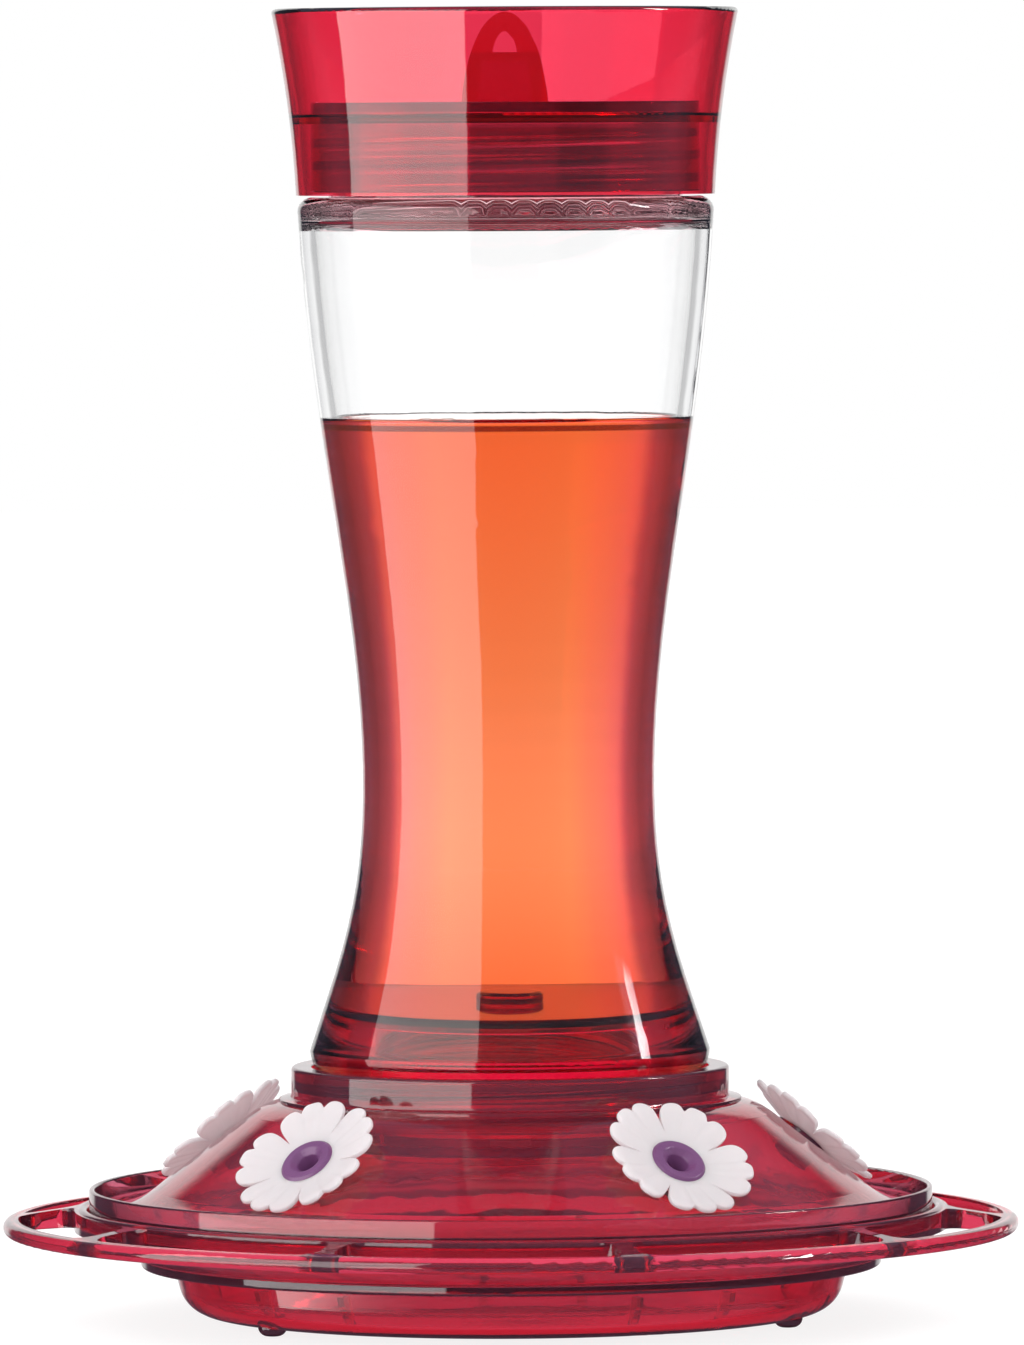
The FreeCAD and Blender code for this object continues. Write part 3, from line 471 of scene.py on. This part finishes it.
cap_red = clear_plastic("cap_crimson_plastic", (0.95, 0.06, 0.30, 1), 850.0, bend=1.6)
tree = cap_red.node_tree
place = object_place(tree)
where = parts_of(tree, place)
reach = add(tree, "ShaderNodeCombineXYZ", {"X": where["X"], "Y": where["Y"]})
reach = add(tree, "ShaderNodeVectorMath", {0: reach.outputs[0]}, operation="LENGTH").outputs["Value"]
on_bore = times(
    tree, maths(tree, "LESS_THAN", reach, SKIRT_BORE_REACH),
    maths(tree, "LESS_THAN", where["Z"], SKIRT_TOP),
)
on_hook = times(
    tree, maths(tree, "LESS_THAN", reach, HOOK_REACH),
    maths(tree, "GREATER_THAN", where["Z"], HOOK_FOOT),
)
drawn_out = add(tree, "ShaderNodeMapping", {"Vector": place, "Scale": STREAK_STRETCH}).outputs[0]
# Painted shade: dark level streaks, with a few paler painted glints, stand in for light the threads bend
# away.
painted_shade_streaks = colour_ramp(tree, noise(tree, drawn_out, 1.0, 3.0), PAINTED_STREAK_SHADE)
steep = edge_on(tree)
# More painted shade darkens the streaks towards the sides, where the bore is seen edge on.
painted_shade_streaks = blend(tree, 1.0, painted_shade_streaks, colour_ramp(tree, steep, PAINTED_BORE_SIDE_SHADE), blend_type="MULTIPLY")
# Painted shade: edges that turn away from the eye are darkened through Layer Weight.
cap_painted_shade = blend(tree, on_bore, colour_ramp(tree, steep, PAINTED_RIM_SHADE), painted_shade_streaks)
# Painted shade: the hook eye's rounded edges are darkened, and only faces seen squarely stay pale.
cap_painted_shade = blend(tree, on_hook, cap_painted_shade, colour_ramp(tree, steep, PAINTED_HOOK_EDGE_SHADE))
tree.links.new(cap_painted_shade, skin_input(cap_red, "Base Color"))
print("cap plastic:", len(tree.nodes), "nodes")

# %% [markdown]
# ## Glass
# Bottle glass is almost colourless. It gets a trace of green in its volume, for the thick
# shoulder and lips, and the long soft ripples that blowing leaves. Where nectar wets the
# bore, almost nothing is mirrored there, because the two bend light nearly alike. The bore is
# told from the outside by its normal, which points at the axis. A band of painted reflection
# on the thick shoulder tints its glass pink, for the red of the cap above it seen in the glass.

# %% Glass
NECTAR_TOP = 203.8 * MM
WET_GLOSS = (0.05, 0.05, 0.05)
PAINTED_REFLECTION_BAND = (249.5 * MM, 256.0 * MM, 1.2 * MM)
PAINTED_REFLECTION_PINK = (0.92, 0.42, 0.48)

glass = clear_plastic("bottle_glass", (0.86, 0.97, 0.93, 1), 3.0, bend=1.45, waviness=0.03, polish=0.004)
tree = glass.node_tree
place = object_place(tree)
height = parts_of(tree, place)["Z"]
surface = add(tree, "ShaderNodeNewGeometry").outputs
outward = add(
    tree, "ShaderNodeVectorMath", {0: surface["Normal"], 1: place}, operation="DOT_PRODUCT"
).outputs["Value"]
side = maths(tree, "SUBTRACT", times(tree, surface["Backfacing"], 2.0), 1.0)
on_bore = maths(tree, "GREATER_THAN", times(tree, outward, side), 0.0)
wet = times(tree, on_bore, maths(tree, "LESS_THAN", height, NECTAR_TOP))
tree.links.new(blend(tree, wet, WHITE, WET_GLOSS), skin_input(glass, "Specular Tint"))
# Painted reflection: a pink band on the shoulder stands in for the red cap seen in the thick glass.
painted_reflection_mask = inside_band(tree, height, *PAINTED_REFLECTION_BAND)
tree.links.new(blend(tree, painted_reflection_mask, WHITE, PAINTED_REFLECTION_PINK), skin_input(glass, "Base Color"))
print("glass:", len(tree.nodes), "nodes")

# %% [markdown]
# ## Silicone seals
# The rings are milky silicone: light goes into them and comes out softened.

# %% Silicone
silicone, tree = new_finish("milky_silicone")
milk = add(
    tree, "ShaderNodeBsdfPrincipled",
    {"Base Color": (0.95, 0.93, 0.90, 1), "Roughness": 0.35, "IOR": 1.41,
     "Transmission Weight": 0.8, "Subsurface Weight": 0.3, "Subsurface Radius": (1, 1, 1),
     "Subsurface Scale": 2 * MM,
     "Normal": relief(tree, noise(tree, object_place(tree), 700.0, 3.0), 0.15, 0.4 * MM)},
)
add(tree, "ShaderNodeOutputMaterial", {"Surface": milk.outputs[0]})
print("silicone:", len(tree.nodes), "nodes")

# %% [markdown]
# ## Purple ports
# The ports are pressed from an opaque satin plastic with a fine matte grain, a little paler
# in soft clouds where a bill and a brush wear them.

# %% Purple plastic
DEEP_PURPLE = (0.128, 0.039, 0.128)
WORN_PURPLE = (0.183, 0.066, 0.183)

purple, tree = new_finish("purple_port_plastic")
place = object_place(tree)
satin = add(
    tree, "ShaderNodeBsdfPrincipled",
    {"Base Color": blend(tree, noise(tree, place, 160.0, 2.0), DEEP_PURPLE, WORN_PURPLE),
     "Roughness": 0.36, "IOR": 1.5,
     "Normal": relief(tree, noise(tree, place, 1500.0, 4.0), 0.25, 0.3 * MM)},
)
add(tree, "ShaderNodeOutputMaterial", {"Surface": satin.outputs[0]})
print("purple plastic:", len(tree.nodes), "nodes")

# %% [markdown]
# ## White flowers
# The flowers are a glossy white plastic, so thin that the light behind them comes through.
# That keeps the flowers at the sides pale, although their backs are turned to the eye. A
# share of translucent shader brings that light, with a faint pink painted into its colour
# that stands in for the red light of the wall.

# %% White plastic
COOL_WHITE = (0.92, 0.92, 0.95)
CLEAN_WHITE = (0.97, 0.97, 0.98)
PAINTED_WALL_PINK = (0.97, 0.86, 0.88)
GLOW_SHARE = 0.40

petal_white, tree = new_finish("petal_white_plastic")
soft = noise(tree, object_place(tree), 260.0, 2.0)
moulded = add(
    tree, "ShaderNodeBsdfPrincipled",
    {"Base Color": blend(tree, soft, COOL_WHITE, CLEAN_WHITE), "Roughness": 0.24, "IOR": 1.49,
     "Subsurface Weight": 0.7, "Subsurface Radius": (1.0, 0.9, 0.9), "Subsurface Scale": 4 * MM,
     "Normal": relief(tree, soft, 0.12, 0.6 * MM)},
)
# Painted light: the translucent colour is tinted pink for the red light of the wall behind.
glow = add(tree, "ShaderNodeBsdfTranslucent", {"Color": (*PAINTED_WALL_PINK, 1)})
petal = add(tree, "ShaderNodeMixShader", {0: GLOW_SHARE, 1: moulded.outputs[0], 2: glow.outputs[0]})
add(tree, "ShaderNodeOutputMaterial", {"Surface": petal.outputs[0]})
print("petal plastic:", len(tree.nodes), "nodes")

# %% [markdown]
# ## Finishes on the CAD pieces
# Pieces whose shape is right stay as they are and only get their finish.

# %% Dress the CAD pieces
PORT_COUNT = 5

finishes = {
    "base_tray": base_red,
    "feeder_deck": base_red,
    "moat_cap": cap_red,
    "glass_bottle": glass,
    "tray_seal": silicone,
    "valve_seal": silicone,
    "collar_seal": silicone,
    "cap_gasket": silicone,
}
for index in range(PORT_COUNT):
    finishes[f"port_{index + 1}"] = purple
for name, finish in finishes.items():
    nodes[name].data.materials[0] = finish
print(len(finishes), "CAD pieces dressed")

# %% [markdown]
# ## Turned shapes
# The nectar and the plug are round about one axis, so each is an outline of radius and
# height, turned round Z and closed. Smooth shading would bend the light across a flat run
# from one corner to the next, so each long run gets a point close to either end, and the
# rounding of the normals stays at the corners.

# %% Turned shapes
HOLD = 0.25 * MM
LONG_RUN = 1.2 * MM
ON_AXIS = 0.0001 * MM
STEPS_ROUND = 192


def with_holding_points(outline):
    """The outline with two more points in each long run, so that its flats shade flat."""
    held = []
    for start, end in zip(outline, outline[1:] + outline[:1]):
        held.append(start)
        length = math.dist(start, end)
        on_axis = start[0] == 0 and end[0] == 0
        if length > LONG_RUN and not on_axis:
            for share in (HOLD / length, 1 - HOLD / length):
                held.append(tuple(a + (b - a) * share for a, b in zip(start, end)))
    return held


def turned(name, outline):
    """The closed skin made by turning an outline of (radius, height) round the Z axis."""
    made = bmesh.new()
    rings = []
    for radius, height in with_holding_points(outline):
        if radius < ON_AXIS:
            rings.append([made.verts.new((0, 0, height))])
            continue
        ring = []
        for step in range(STEPS_ROUND):
            angle = 2 * math.pi * step / STEPS_ROUND
            ring.append(made.verts.new((radius * math.cos(angle), radius * math.sin(angle), height)))
        rings.append(ring)
    for lower, upper in zip(rings, rings[1:] + rings[:1]):
        if len(lower) == 1 and len(upper) == 1:
            continue
        for step in range(STEPS_ROUND):
            following = (step + 1) % STEPS_ROUND
            corners = [
                lower[step % len(lower)], lower[following % len(lower)],
                upper[following % len(upper)], upper[step % len(upper)],
            ]
            made.faces.new(list(dict.fromkeys(corners)))
    bmesh.ops.recalc_face_normals(made, faces=made.faces)
    mesh = bpy.data.meshes.new(name)
    made.to_mesh(mesh)
    made.free()
    for face in mesh.polygons:
        face.use_smooth = True
    thing = bpy.data.objects.new(name, mesh)
    bpy.context.scene.collection.objects.link(thing)
    return thing


# %% [markdown]
# ## The nectar
# Where a liquid touches glass there is no air between them. Light then bends far less at
# that face, and none is mirrored back inside. To get that, the liquid's skin lies just inside
# the glass, and just inside the plug that stands in the bottle's mouth. The outline is
# measured on the bottle by casting rays from its axis. The surface creeps a little way up the
# glass at its edge.

# %% Nectar shape
LIQUID_OVERLAP = 0.15 * MM
MENISCUS_RISE = 1.0 * MM
MENISCUS_REACH = 1.6 * MM
MENISCUS_POINTS = 6
WALL_ROWS = 150
PLUG_RADIUS = 33.5 * MM
PLUG_TOP = 69.2 * MM
PLUG_ROUND = 1.0 * MM
PLUG_BOSS_RADIUS = 5.7 * MM
PLUG_BOSS_TOP = 71.6 * MM
BOSS_ROUND = 0.6 * MM
BOSS_ROOM_ROUND = 0.7 * MM

bottle_mesh = nodes["glass_bottle"].data
bottle_tree = BVHTree.FromPolygons(
    [vertex.co for vertex in bottle_mesh.vertices],
    [tuple(face.vertices) for face in bottle_mesh.polygons],
)
nectar_low, nectar_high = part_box("nectar")


def bottle_bore(height):
    """The bottle's inner radius at a height."""
    hit = bottle_tree.ray_cast(Vector((0, 0, height)), Vector((1, 0, 0)))
    return hit[0].x


outline = []
foot = nectar_low.z
for row in range(WALL_ROWS + 1):
    height = foot + (nectar_high.z - foot) * row / WALL_ROWS
    outline.append((bottle_bore(height) + LIQUID_OVERLAP, height))
wall_radius, level = outline[-1]
outline.append((wall_radius, level + MENISCUS_RISE))
for point in range(1, MENISCUS_POINTS + 1):
    share = point / MENISCUS_POINTS
    rise = MENISCUS_RISE * (1 - share) ** 2
    outline.append((wall_radius - LIQUID_OVERLAP - MENISCUS_REACH * share, level + rise))
outline.append((0.0, level))
room_for_plug = [
    (0.0, PLUG_BOSS_TOP - LIQUID_OVERLAP),
    (PLUG_BOSS_RADIUS - BOSS_ROOM_ROUND, PLUG_BOSS_TOP - LIQUID_OVERLAP),
    (PLUG_BOSS_RADIUS - LIQUID_OVERLAP, PLUG_BOSS_TOP - BOSS_ROOM_ROUND),
    (PLUG_BOSS_RADIUS - LIQUID_OVERLAP, PLUG_TOP - LIQUID_OVERLAP),
    (PLUG_RADIUS - PLUG_ROUND, PLUG_TOP - LIQUID_OVERLAP),
    (PLUG_RADIUS - 0.4 * PLUG_ROUND - LIQUID_OVERLAP, PLUG_TOP - 0.4 * PLUG_ROUND),
    (PLUG_RADIUS - LIQUID_OVERLAP, PLUG_TOP - PLUG_ROUND),
    (PLUG_RADIUS - LIQUID_OVERLAP, foot),
]
nectar = turned("nectar_liquid", outline + room_for_plug)

# %% [markdown]
# A round body of liquid is darker towards its sides, where light turns most. A little of that
# is given to its skin as painted shade by Layer Weight, so that the dark sides stay whichever
# way the feeder is turned. A dark band of painted shade under the surface stands in for the
# edge of the liquid, seen through the glass.

# %% Nectar finish
PAINTED_NECTAR_SIDE_SHADE = (
    (0.05, WHITE), (0.09, (1.0, 0.62, 0.90)), (0.16, (0.88, 0.28, 0.78)),
    (0.205, (0.73, 0.10, 0.54)), (0.275, (0.26, 0.04, 0.22)),
)
PAINTED_SHADE_BAND = (level - 1.7 * MM, level - 0.4 * MM, 0.15 * MM)
PAINTED_SURFACE_SHADE = (0.10, 0.03, 0.05)

liquid = clear_plastic("orange_nectar", (0.992, 0.47, 0.08, 1), 48.5, bend=1.35, waviness=0.0, polish=0.0)
nectar.data.materials.append(liquid)
tree = liquid.node_tree
surface = add(tree, "ShaderNodeNewGeometry").outputs
steepness = maths(tree, "ABSOLUTE", parts_of(tree, surface["Normal"])["Z"])
upright = maths(tree, "LESS_THAN", steepness, LEVEL_FROM)
from_outside = opposite(tree, surface["Backfacing"])
# Painted shade: a dark band just under the surface of the nectar.
painted_band_mask = inside_band(tree, parts_of(tree, object_place(tree))["Z"], *PAINTED_SHADE_BAND)
# Painted shade: the nectar's skin darkens towards its sides, by Layer Weight.
painted_side_shade = colour_ramp(tree, edge_on(tree), PAINTED_NECTAR_SIDE_SHADE)
painted_side_shade = blend(tree, painted_band_mask, painted_side_shade, PAINTED_SURFACE_SHADE)
shaded = blend(tree, times(tree, upright, from_outside), WHITE, painted_side_shade)
tree.links.new(shaded, skin_input(liquid, "Base Color"))
tree.links.new(blend(tree, upright, WHITE, WET_GLOSS), skin_input(liquid, "Specular Tint"))
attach(nectar, "bottle")
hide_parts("nectar")
print("nectar: level at", round(level / MM, 1), "mm,", len(nectar.data.polygons), "faces")

# %% [markdown]
# ## The plug in the bottle's mouth
# Through the nectar the plug shows as a deep magenta drum with a low round boss on its top.
# It is a hollow turning, so one outline is enough: over the top, down the outside, round the
# flange and the snap ring that holds it in the base, and back up the inside.

# %% Plug
PLUG_WALL = 2.2 * MM
FLANGE_TOP = 42.85 * MM
FLANGE_FOOT = 41.25 * MM
FLANGE_REACH = 2.9 * MM
FLANGE_ROUND = 0.4 * MM
SNAP_RING_OUTER = PLUG_RADIUS - 2.1 * MM
SNAP_RING_INNER = PLUG_RADIUS - 4.3 * MM

plug_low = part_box("flow_plug")[0]
plug = turned("mouth_plug", [
    (0.0, PLUG_BOSS_TOP),
    (PLUG_BOSS_RADIUS - BOSS_ROUND, PLUG_BOSS_TOP),
    (PLUG_BOSS_RADIUS, PLUG_BOSS_TOP - BOSS_ROUND),
    (PLUG_BOSS_RADIUS, PLUG_TOP),
    (PLUG_RADIUS - PLUG_ROUND, PLUG_TOP),
    (PLUG_RADIUS - 0.3 * PLUG_ROUND, PLUG_TOP - 0.3 * PLUG_ROUND),
    (PLUG_RADIUS, PLUG_TOP - PLUG_ROUND),
    (PLUG_RADIUS, FLANGE_TOP + 0.65 * MM),
    (PLUG_RADIUS + 0.6 * MM, FLANGE_TOP),
    (PLUG_RADIUS + FLANGE_REACH - FLANGE_ROUND, FLANGE_TOP),
    (PLUG_RADIUS + FLANGE_REACH, FLANGE_TOP - FLANGE_ROUND),
    (PLUG_RADIUS + FLANGE_REACH, FLANGE_FOOT),
    (SNAP_RING_OUTER, FLANGE_FOOT),
    (SNAP_RING_OUTER, plug_low.z),
    (SNAP_RING_INNER, plug_low.z),
    (SNAP_RING_INNER, FLANGE_TOP),
    (PLUG_RADIUS - PLUG_WALL, FLANGE_TOP + 2 * MM),
    (PLUG_RADIUS - PLUG_WALL, PLUG_TOP - PLUG_WALL - 1 * MM),
    (PLUG_RADIUS - PLUG_WALL - 1 * MM, PLUG_TOP - PLUG_WALL),
    (0.0, PLUG_TOP - PLUG_WALL),
])
plug.data.materials.append(plug_red)
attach(plug, "deck")
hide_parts("flow_plug")
print("plug from", round(plug_low.z / MM, 1), "to", round(PLUG_BOSS_TOP / MM, 1), "mm")

# %% [markdown]
# ## Flowers
# Each flower is one moulding of five petals with three lobes each, cupped towards the bird.
# Half a petal's edge is a short list of angle and reach, mirrored and repeated round the
# flower. The petals are filled in rows from the port's hole to that edge, lifted into their
# cup and creases, given their wall and rounded by subdivision, and then set on their port.

# %% Flower shape
PORT_FIRST_ANGLE = -40.0
PORT_STEP = 360.0 / PORT_COUNT
PORT_TILT = 42.0
PORT_FACE_RADIUS = 70.9 * MM
PORT_FACE_HEIGHT = 40.7 * MM
PETAL_COUNT = 5
PETAL_STEP = 360.0 / PETAL_COUNT
PETAL_ROWS = 12
FLOWER_FRONT = -0.9 * MM
FLOWER_RADIUS = 17.3 * MM
FLOWER_HOLE = 4.7 * MM
FLOWER_WALL = 1.2 * MM
FLOWER_CUP = 2.2 * MM
FLOWER_TURNS = (-12.0, -3.0, 6.0, 27.0, -20.0)
SLIT_ROOT = 9.2 * MM
SLIT_RUN = 3.0 * MM
SLIT_SHARE = 0.035
FLAT_MIDDLE = 7.0 * MM
ARCH_HEIGHT = 0.9 * MM
CREASES = ((-12.0, 0.24 * MM), (0.0, 0.14 * MM), (12.0, 0.24 * MM))
CREASE_WIDTH = 3.6
CREASE_STARTS = 1.6
CURL_FROM = 0.8
CURL_DROP = 0.5 * MM
WELD_REACH = 0.02 * MM
PETAL_EDGE = (
    (0.0, 1.0), (3.0, 0.998), (6.0, 0.986), (8.2, 0.958), (9.8, 0.920), (11.0, 0.884),
    (12.2, 0.916), (13.8, 0.952), (16.0, 0.978), (19.0, 0.990), (22.5, 0.990), (26.0, 0.978),
    (29.0, 0.955), (31.5, 0.920), (33.3, 0.875), (34.6, 0.82), (35.5, 0.76), (36.0, 0.69),
)


def port_place(index):
    """Where a port's face is and how it is turned."""
    angle = math.radians(PORT_FIRST_ANGLE + PORT_STEP * index)
    centre = Vector((
        PORT_FACE_RADIUS * math.sin(angle), -PORT_FACE_RADIUS * math.cos(angle), PORT_FACE_HEIGHT,
    ))
    return (
        Matrix.Translation(centre)
        @ Matrix.Rotation(angle, 4, "Z")
        @ Matrix.Rotation(math.radians(PORT_TILT), 4, "X")
    )


def flower_height(radius, angle):
    """Height of the flower's face over its middle: cup, arched petals and soft creases."""
    outward = max(0.0, (radius - FLAT_MIDDLE) / (FLOWER_RADIUS - FLAT_MIDDLE))
    cup = FLOWER_CUP * (radius / FLOWER_RADIUS) ** 2
    arch = ARCH_HEIGHT * outward * (1 - (angle / (PETAL_STEP / 2)) ** 2)
    creases = 0.0
    for crease, depth in CREASES:
        valley = math.exp(-((angle - crease) / CREASE_WIDTH) ** 2)
        creases -= depth * valley * min(1.0, CREASE_STARTS * outward)
    curl = -CURL_DROP * max(0.0, outward - CURL_FROM) / (1 - CURL_FROM)
    return cup + arch + creases + curl


def petal_line(made, petal, angle, share, first_turn):
    """The points from the port's hole out to one point of a petal's edge."""
    line = []
    reach = share * FLOWER_RADIUS
    for row in range(PETAL_ROWS + 1):
        radius = FLOWER_HOLE + (reach - FLOWER_HOLE) * row / PETAL_ROWS
        slit = min(1.0, max(0.0, (radius - SLIT_ROOT) / SLIT_RUN))
        turn = math.radians(PETAL_STEP * petal + angle * (1 - SLIT_SHARE * slit) + first_turn)
        height = FLOWER_FRONT + flower_height(radius, angle)
        line.append(made.verts.new((radius * math.sin(turn), -radius * math.cos(turn), height)))
    return line


def flower_face(index):
    """The front of one flower, as a sheet of petals that looks up."""
    made = bmesh.new()
    edge = [(-angle, share) for angle, share in PETAL_EDGE[:0:-1]] + list(PETAL_EDGE)
    for petal in range(PETAL_COUNT):
        lines = [petal_line(made, petal, angle, share, FLOWER_TURNS[index]) for angle, share in edge]
        for left, right in zip(lines, lines[1:]):
            for row in range(PETAL_ROWS):
                made.faces.new((left[row], left[row + 1], right[row + 1], right[row]))
    bmesh.ops.remove_doubles(made, verts=made.verts, dist=WELD_REACH)
    bmesh.ops.recalc_face_normals(made, faces=made.faces)
    if sum(face.normal.z for face in made.faces) < 0:
        bmesh.ops.reverse_faces(made, faces=made.faces)
    mesh = bpy.data.meshes.new(f"petals_{index + 1}")
    made.to_mesh(mesh)
    made.free()
    return mesh


def bake(thing, place=None):
    """Applies an object's modifiers, and puts its place into its mesh."""
    shown = thing.evaluated_get(bpy.context.evaluated_depsgraph_get())
    mesh = bpy.data.meshes.new_from_object(shown)
    thing.modifiers.clear()
    old = thing.data
    thing.data = mesh
    bpy.data.meshes.remove(old)
    mesh.name = thing.name
    if place is not None:
        mesh.transform(place)
    for face in mesh.polygons:
        face.use_smooth = True
    return thing


def flower_shape(index):
    """One flower as a closed mesh, in its place."""
    flower = bpy.data.objects.new(f"petals_{index + 1}", flower_face(index))
    bpy.context.scene.collection.objects.link(flower)
    wall = flower.modifiers.new("wall", "SOLIDIFY")
    wall.thickness = FLOWER_WALL
    wall.offset = -1.0
    rounded = flower.modifiers.new("rounded", "SUBSURF")
    rounded.levels = 2
    rounded.render_levels = 2
    return bake(flower, port_place(index))


# %% Flowers on their ports
for index in range(PORT_COUNT):
    flower = flower_shape(index)
    flower.data.materials.append(petal_white)
    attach(flower, f"flower_set_{index + 1}")
    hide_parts(f"flower_{index + 1}")
print("five flowers of", len(flower.data.polygons), "faces each")

# %% [markdown]
# ## Screw threads
# Both necks of the bottle have a round thread of two and a half turns, and the cap's skirt
# and the base's socket have the thread that meets it, half a pitch further on. A thread is a
# rod laid along a spiral and half sunk in its wall, fading out at both ends. It follows a
# rule, so Geometry Nodes make it: a spiral, its thickness along the way, and a round section.

# %% Thread tree
THREAD_PITCH = 5.1 * MM
THREAD_TURNS = 2.5
FADE_SHARE = 0.06
END_THICKNESS = 0.15
STEPS_A_TURN = 72
SECTION_CORNERS = 14
THREAD_INPUTS = ("Radius", "Pitch", "Turns", "Rod Radius", "Foot Height", "Start Turn")


def thread_tree(finish):
    """A Geometry Nodes tree that lays a tapering round thread along a spiral."""
    tree = bpy.data.node_groups.new(f"thread_{finish.name}", "GeometryNodeTree")
    tree.is_modifier = True
    tree.interface.new_socket(name="Geometry", in_out="OUTPUT", socket_type="NodeSocketGeometry")
    for label in THREAD_INPUTS:
        tree.interface.new_socket(name=label, in_out="INPUT", socket_type="NodeSocketFloat")
    given = add(tree, "NodeGroupInput").outputs
    spiral = add(
        tree, "GeometryNodeCurveSpiral",
        {"Resolution": STEPS_A_TURN, "Rotations": given["Turns"], "Start Radius": given["Radius"],
         "End Radius": given["Radius"], "Height": times(tree, given["Pitch"], given["Turns"]),
         "Reverse": True},
    )
    along = add(tree, "GeometryNodeSplineParameter").outputs["Factor"]
    grows = ramp_between(tree, along, 0.0, FADE_SHARE)
    fades = opposite(tree, ramp_between(tree, along, 1 - FADE_SHARE, 1.0))
    taper = times(tree, times(tree, grows, fades), 1 - END_THICKNESS)
    taper = times(tree, plus(tree, taper, END_THICKNESS), given["Rod Radius"])
    section = add(
        tree, "GeometryNodeCurvePrimitiveCircle",
        {"Resolution": SECTION_CORNERS, "Radius": 1.0}, mode="RADIUS",
    )
    rod = add(
        tree, "GeometryNodeCurveToMesh",
        {"Curve": spiral.outputs[0], "Profile Curve": section.outputs[0], "Scale": taper,
         "Fill Caps": True},
    )
    spot = add(tree, "ShaderNodeCombineXYZ", {"Z": given["Foot Height"]})
    facing = add(tree, "ShaderNodeCombineXYZ", {"Z": given["Start Turn"]})
    placed = add(
        tree, "GeometryNodeTransform",
        {"Geometry": rod.outputs[0], "Translation": spot.outputs[0], "Rotation": facing.outputs[0]},
    )
    smooth = add(tree, "GeometryNodeSetShadeSmooth", {0: placed.outputs[0]})
    coated = add(tree, "GeometryNodeSetMaterial", {"Geometry": smooth.outputs[0], "Material": finish})
    real = add(tree, "GeometryNodeRealizeInstances", {0: coated.outputs[0]})
    add(tree, "NodeGroupOutput", {0: real.outputs[0]})
    return tree


def thread(name, body, finish, radius, rod_radius, foot_height, start_turn):
    """One thread, made by the tree and turned into a plain mesh."""
    made = bpy.data.objects.new(name, bpy.data.meshes.new(name))
    bpy.context.scene.collection.objects.link(made)
    modifier = made.modifiers.new("thread", "NODES")
    modifier.node_group = thread_tree(finish)
    sizes = (radius, THREAD_PITCH, THREAD_TURNS, rod_radius, foot_height, start_turn)
    values = dict(zip(THREAD_INPUTS, sizes))
    for socket in modifier.node_group.interface.items_tree:
        if socket.in_out == "INPUT":
            modifier[socket.identifier] = values[socket.name]
    bake(made)
    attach(made, body)
    radii = [math.hypot(vertex.co.x, vertex.co.y) / MM for vertex in made.data.vertices]
    heights = [vertex.co.z / MM for vertex in made.data.vertices]
    print(name, len(made.data.polygons), "faces,",
          "radius", round(min(radii), 2), "to", round(max(radii), 2), "mm,",
          "height", round(min(heights), 2), "to", round(max(heights), 2), "mm")


# %% Four threads
UPPER_FOOT = 256.6 * MM
UPPER_START = 0.6
LOWER_FOOT = 44.6 * MM
LOWER_START = 2.0
HALF_TURN = math.pi

thread("upper_neck_thread", "bottle", glass,
       40.25 * MM, 1.15 * MM, UPPER_FOOT, UPPER_START)
thread("cap_thread", "cap", cap_red,
       41.85 * MM, 1.0 * MM, UPPER_FOOT, UPPER_START + HALF_TURN)
thread("lower_neck_thread", "bottle", glass,
       41.55 * MM, 1.2 * MM, LOWER_FOOT, LOWER_START)
thread("socket_thread", "deck", base_red,
       43.35 * MM, 1.0 * MM, LOWER_FOOT, LOWER_START + HALF_TURN)
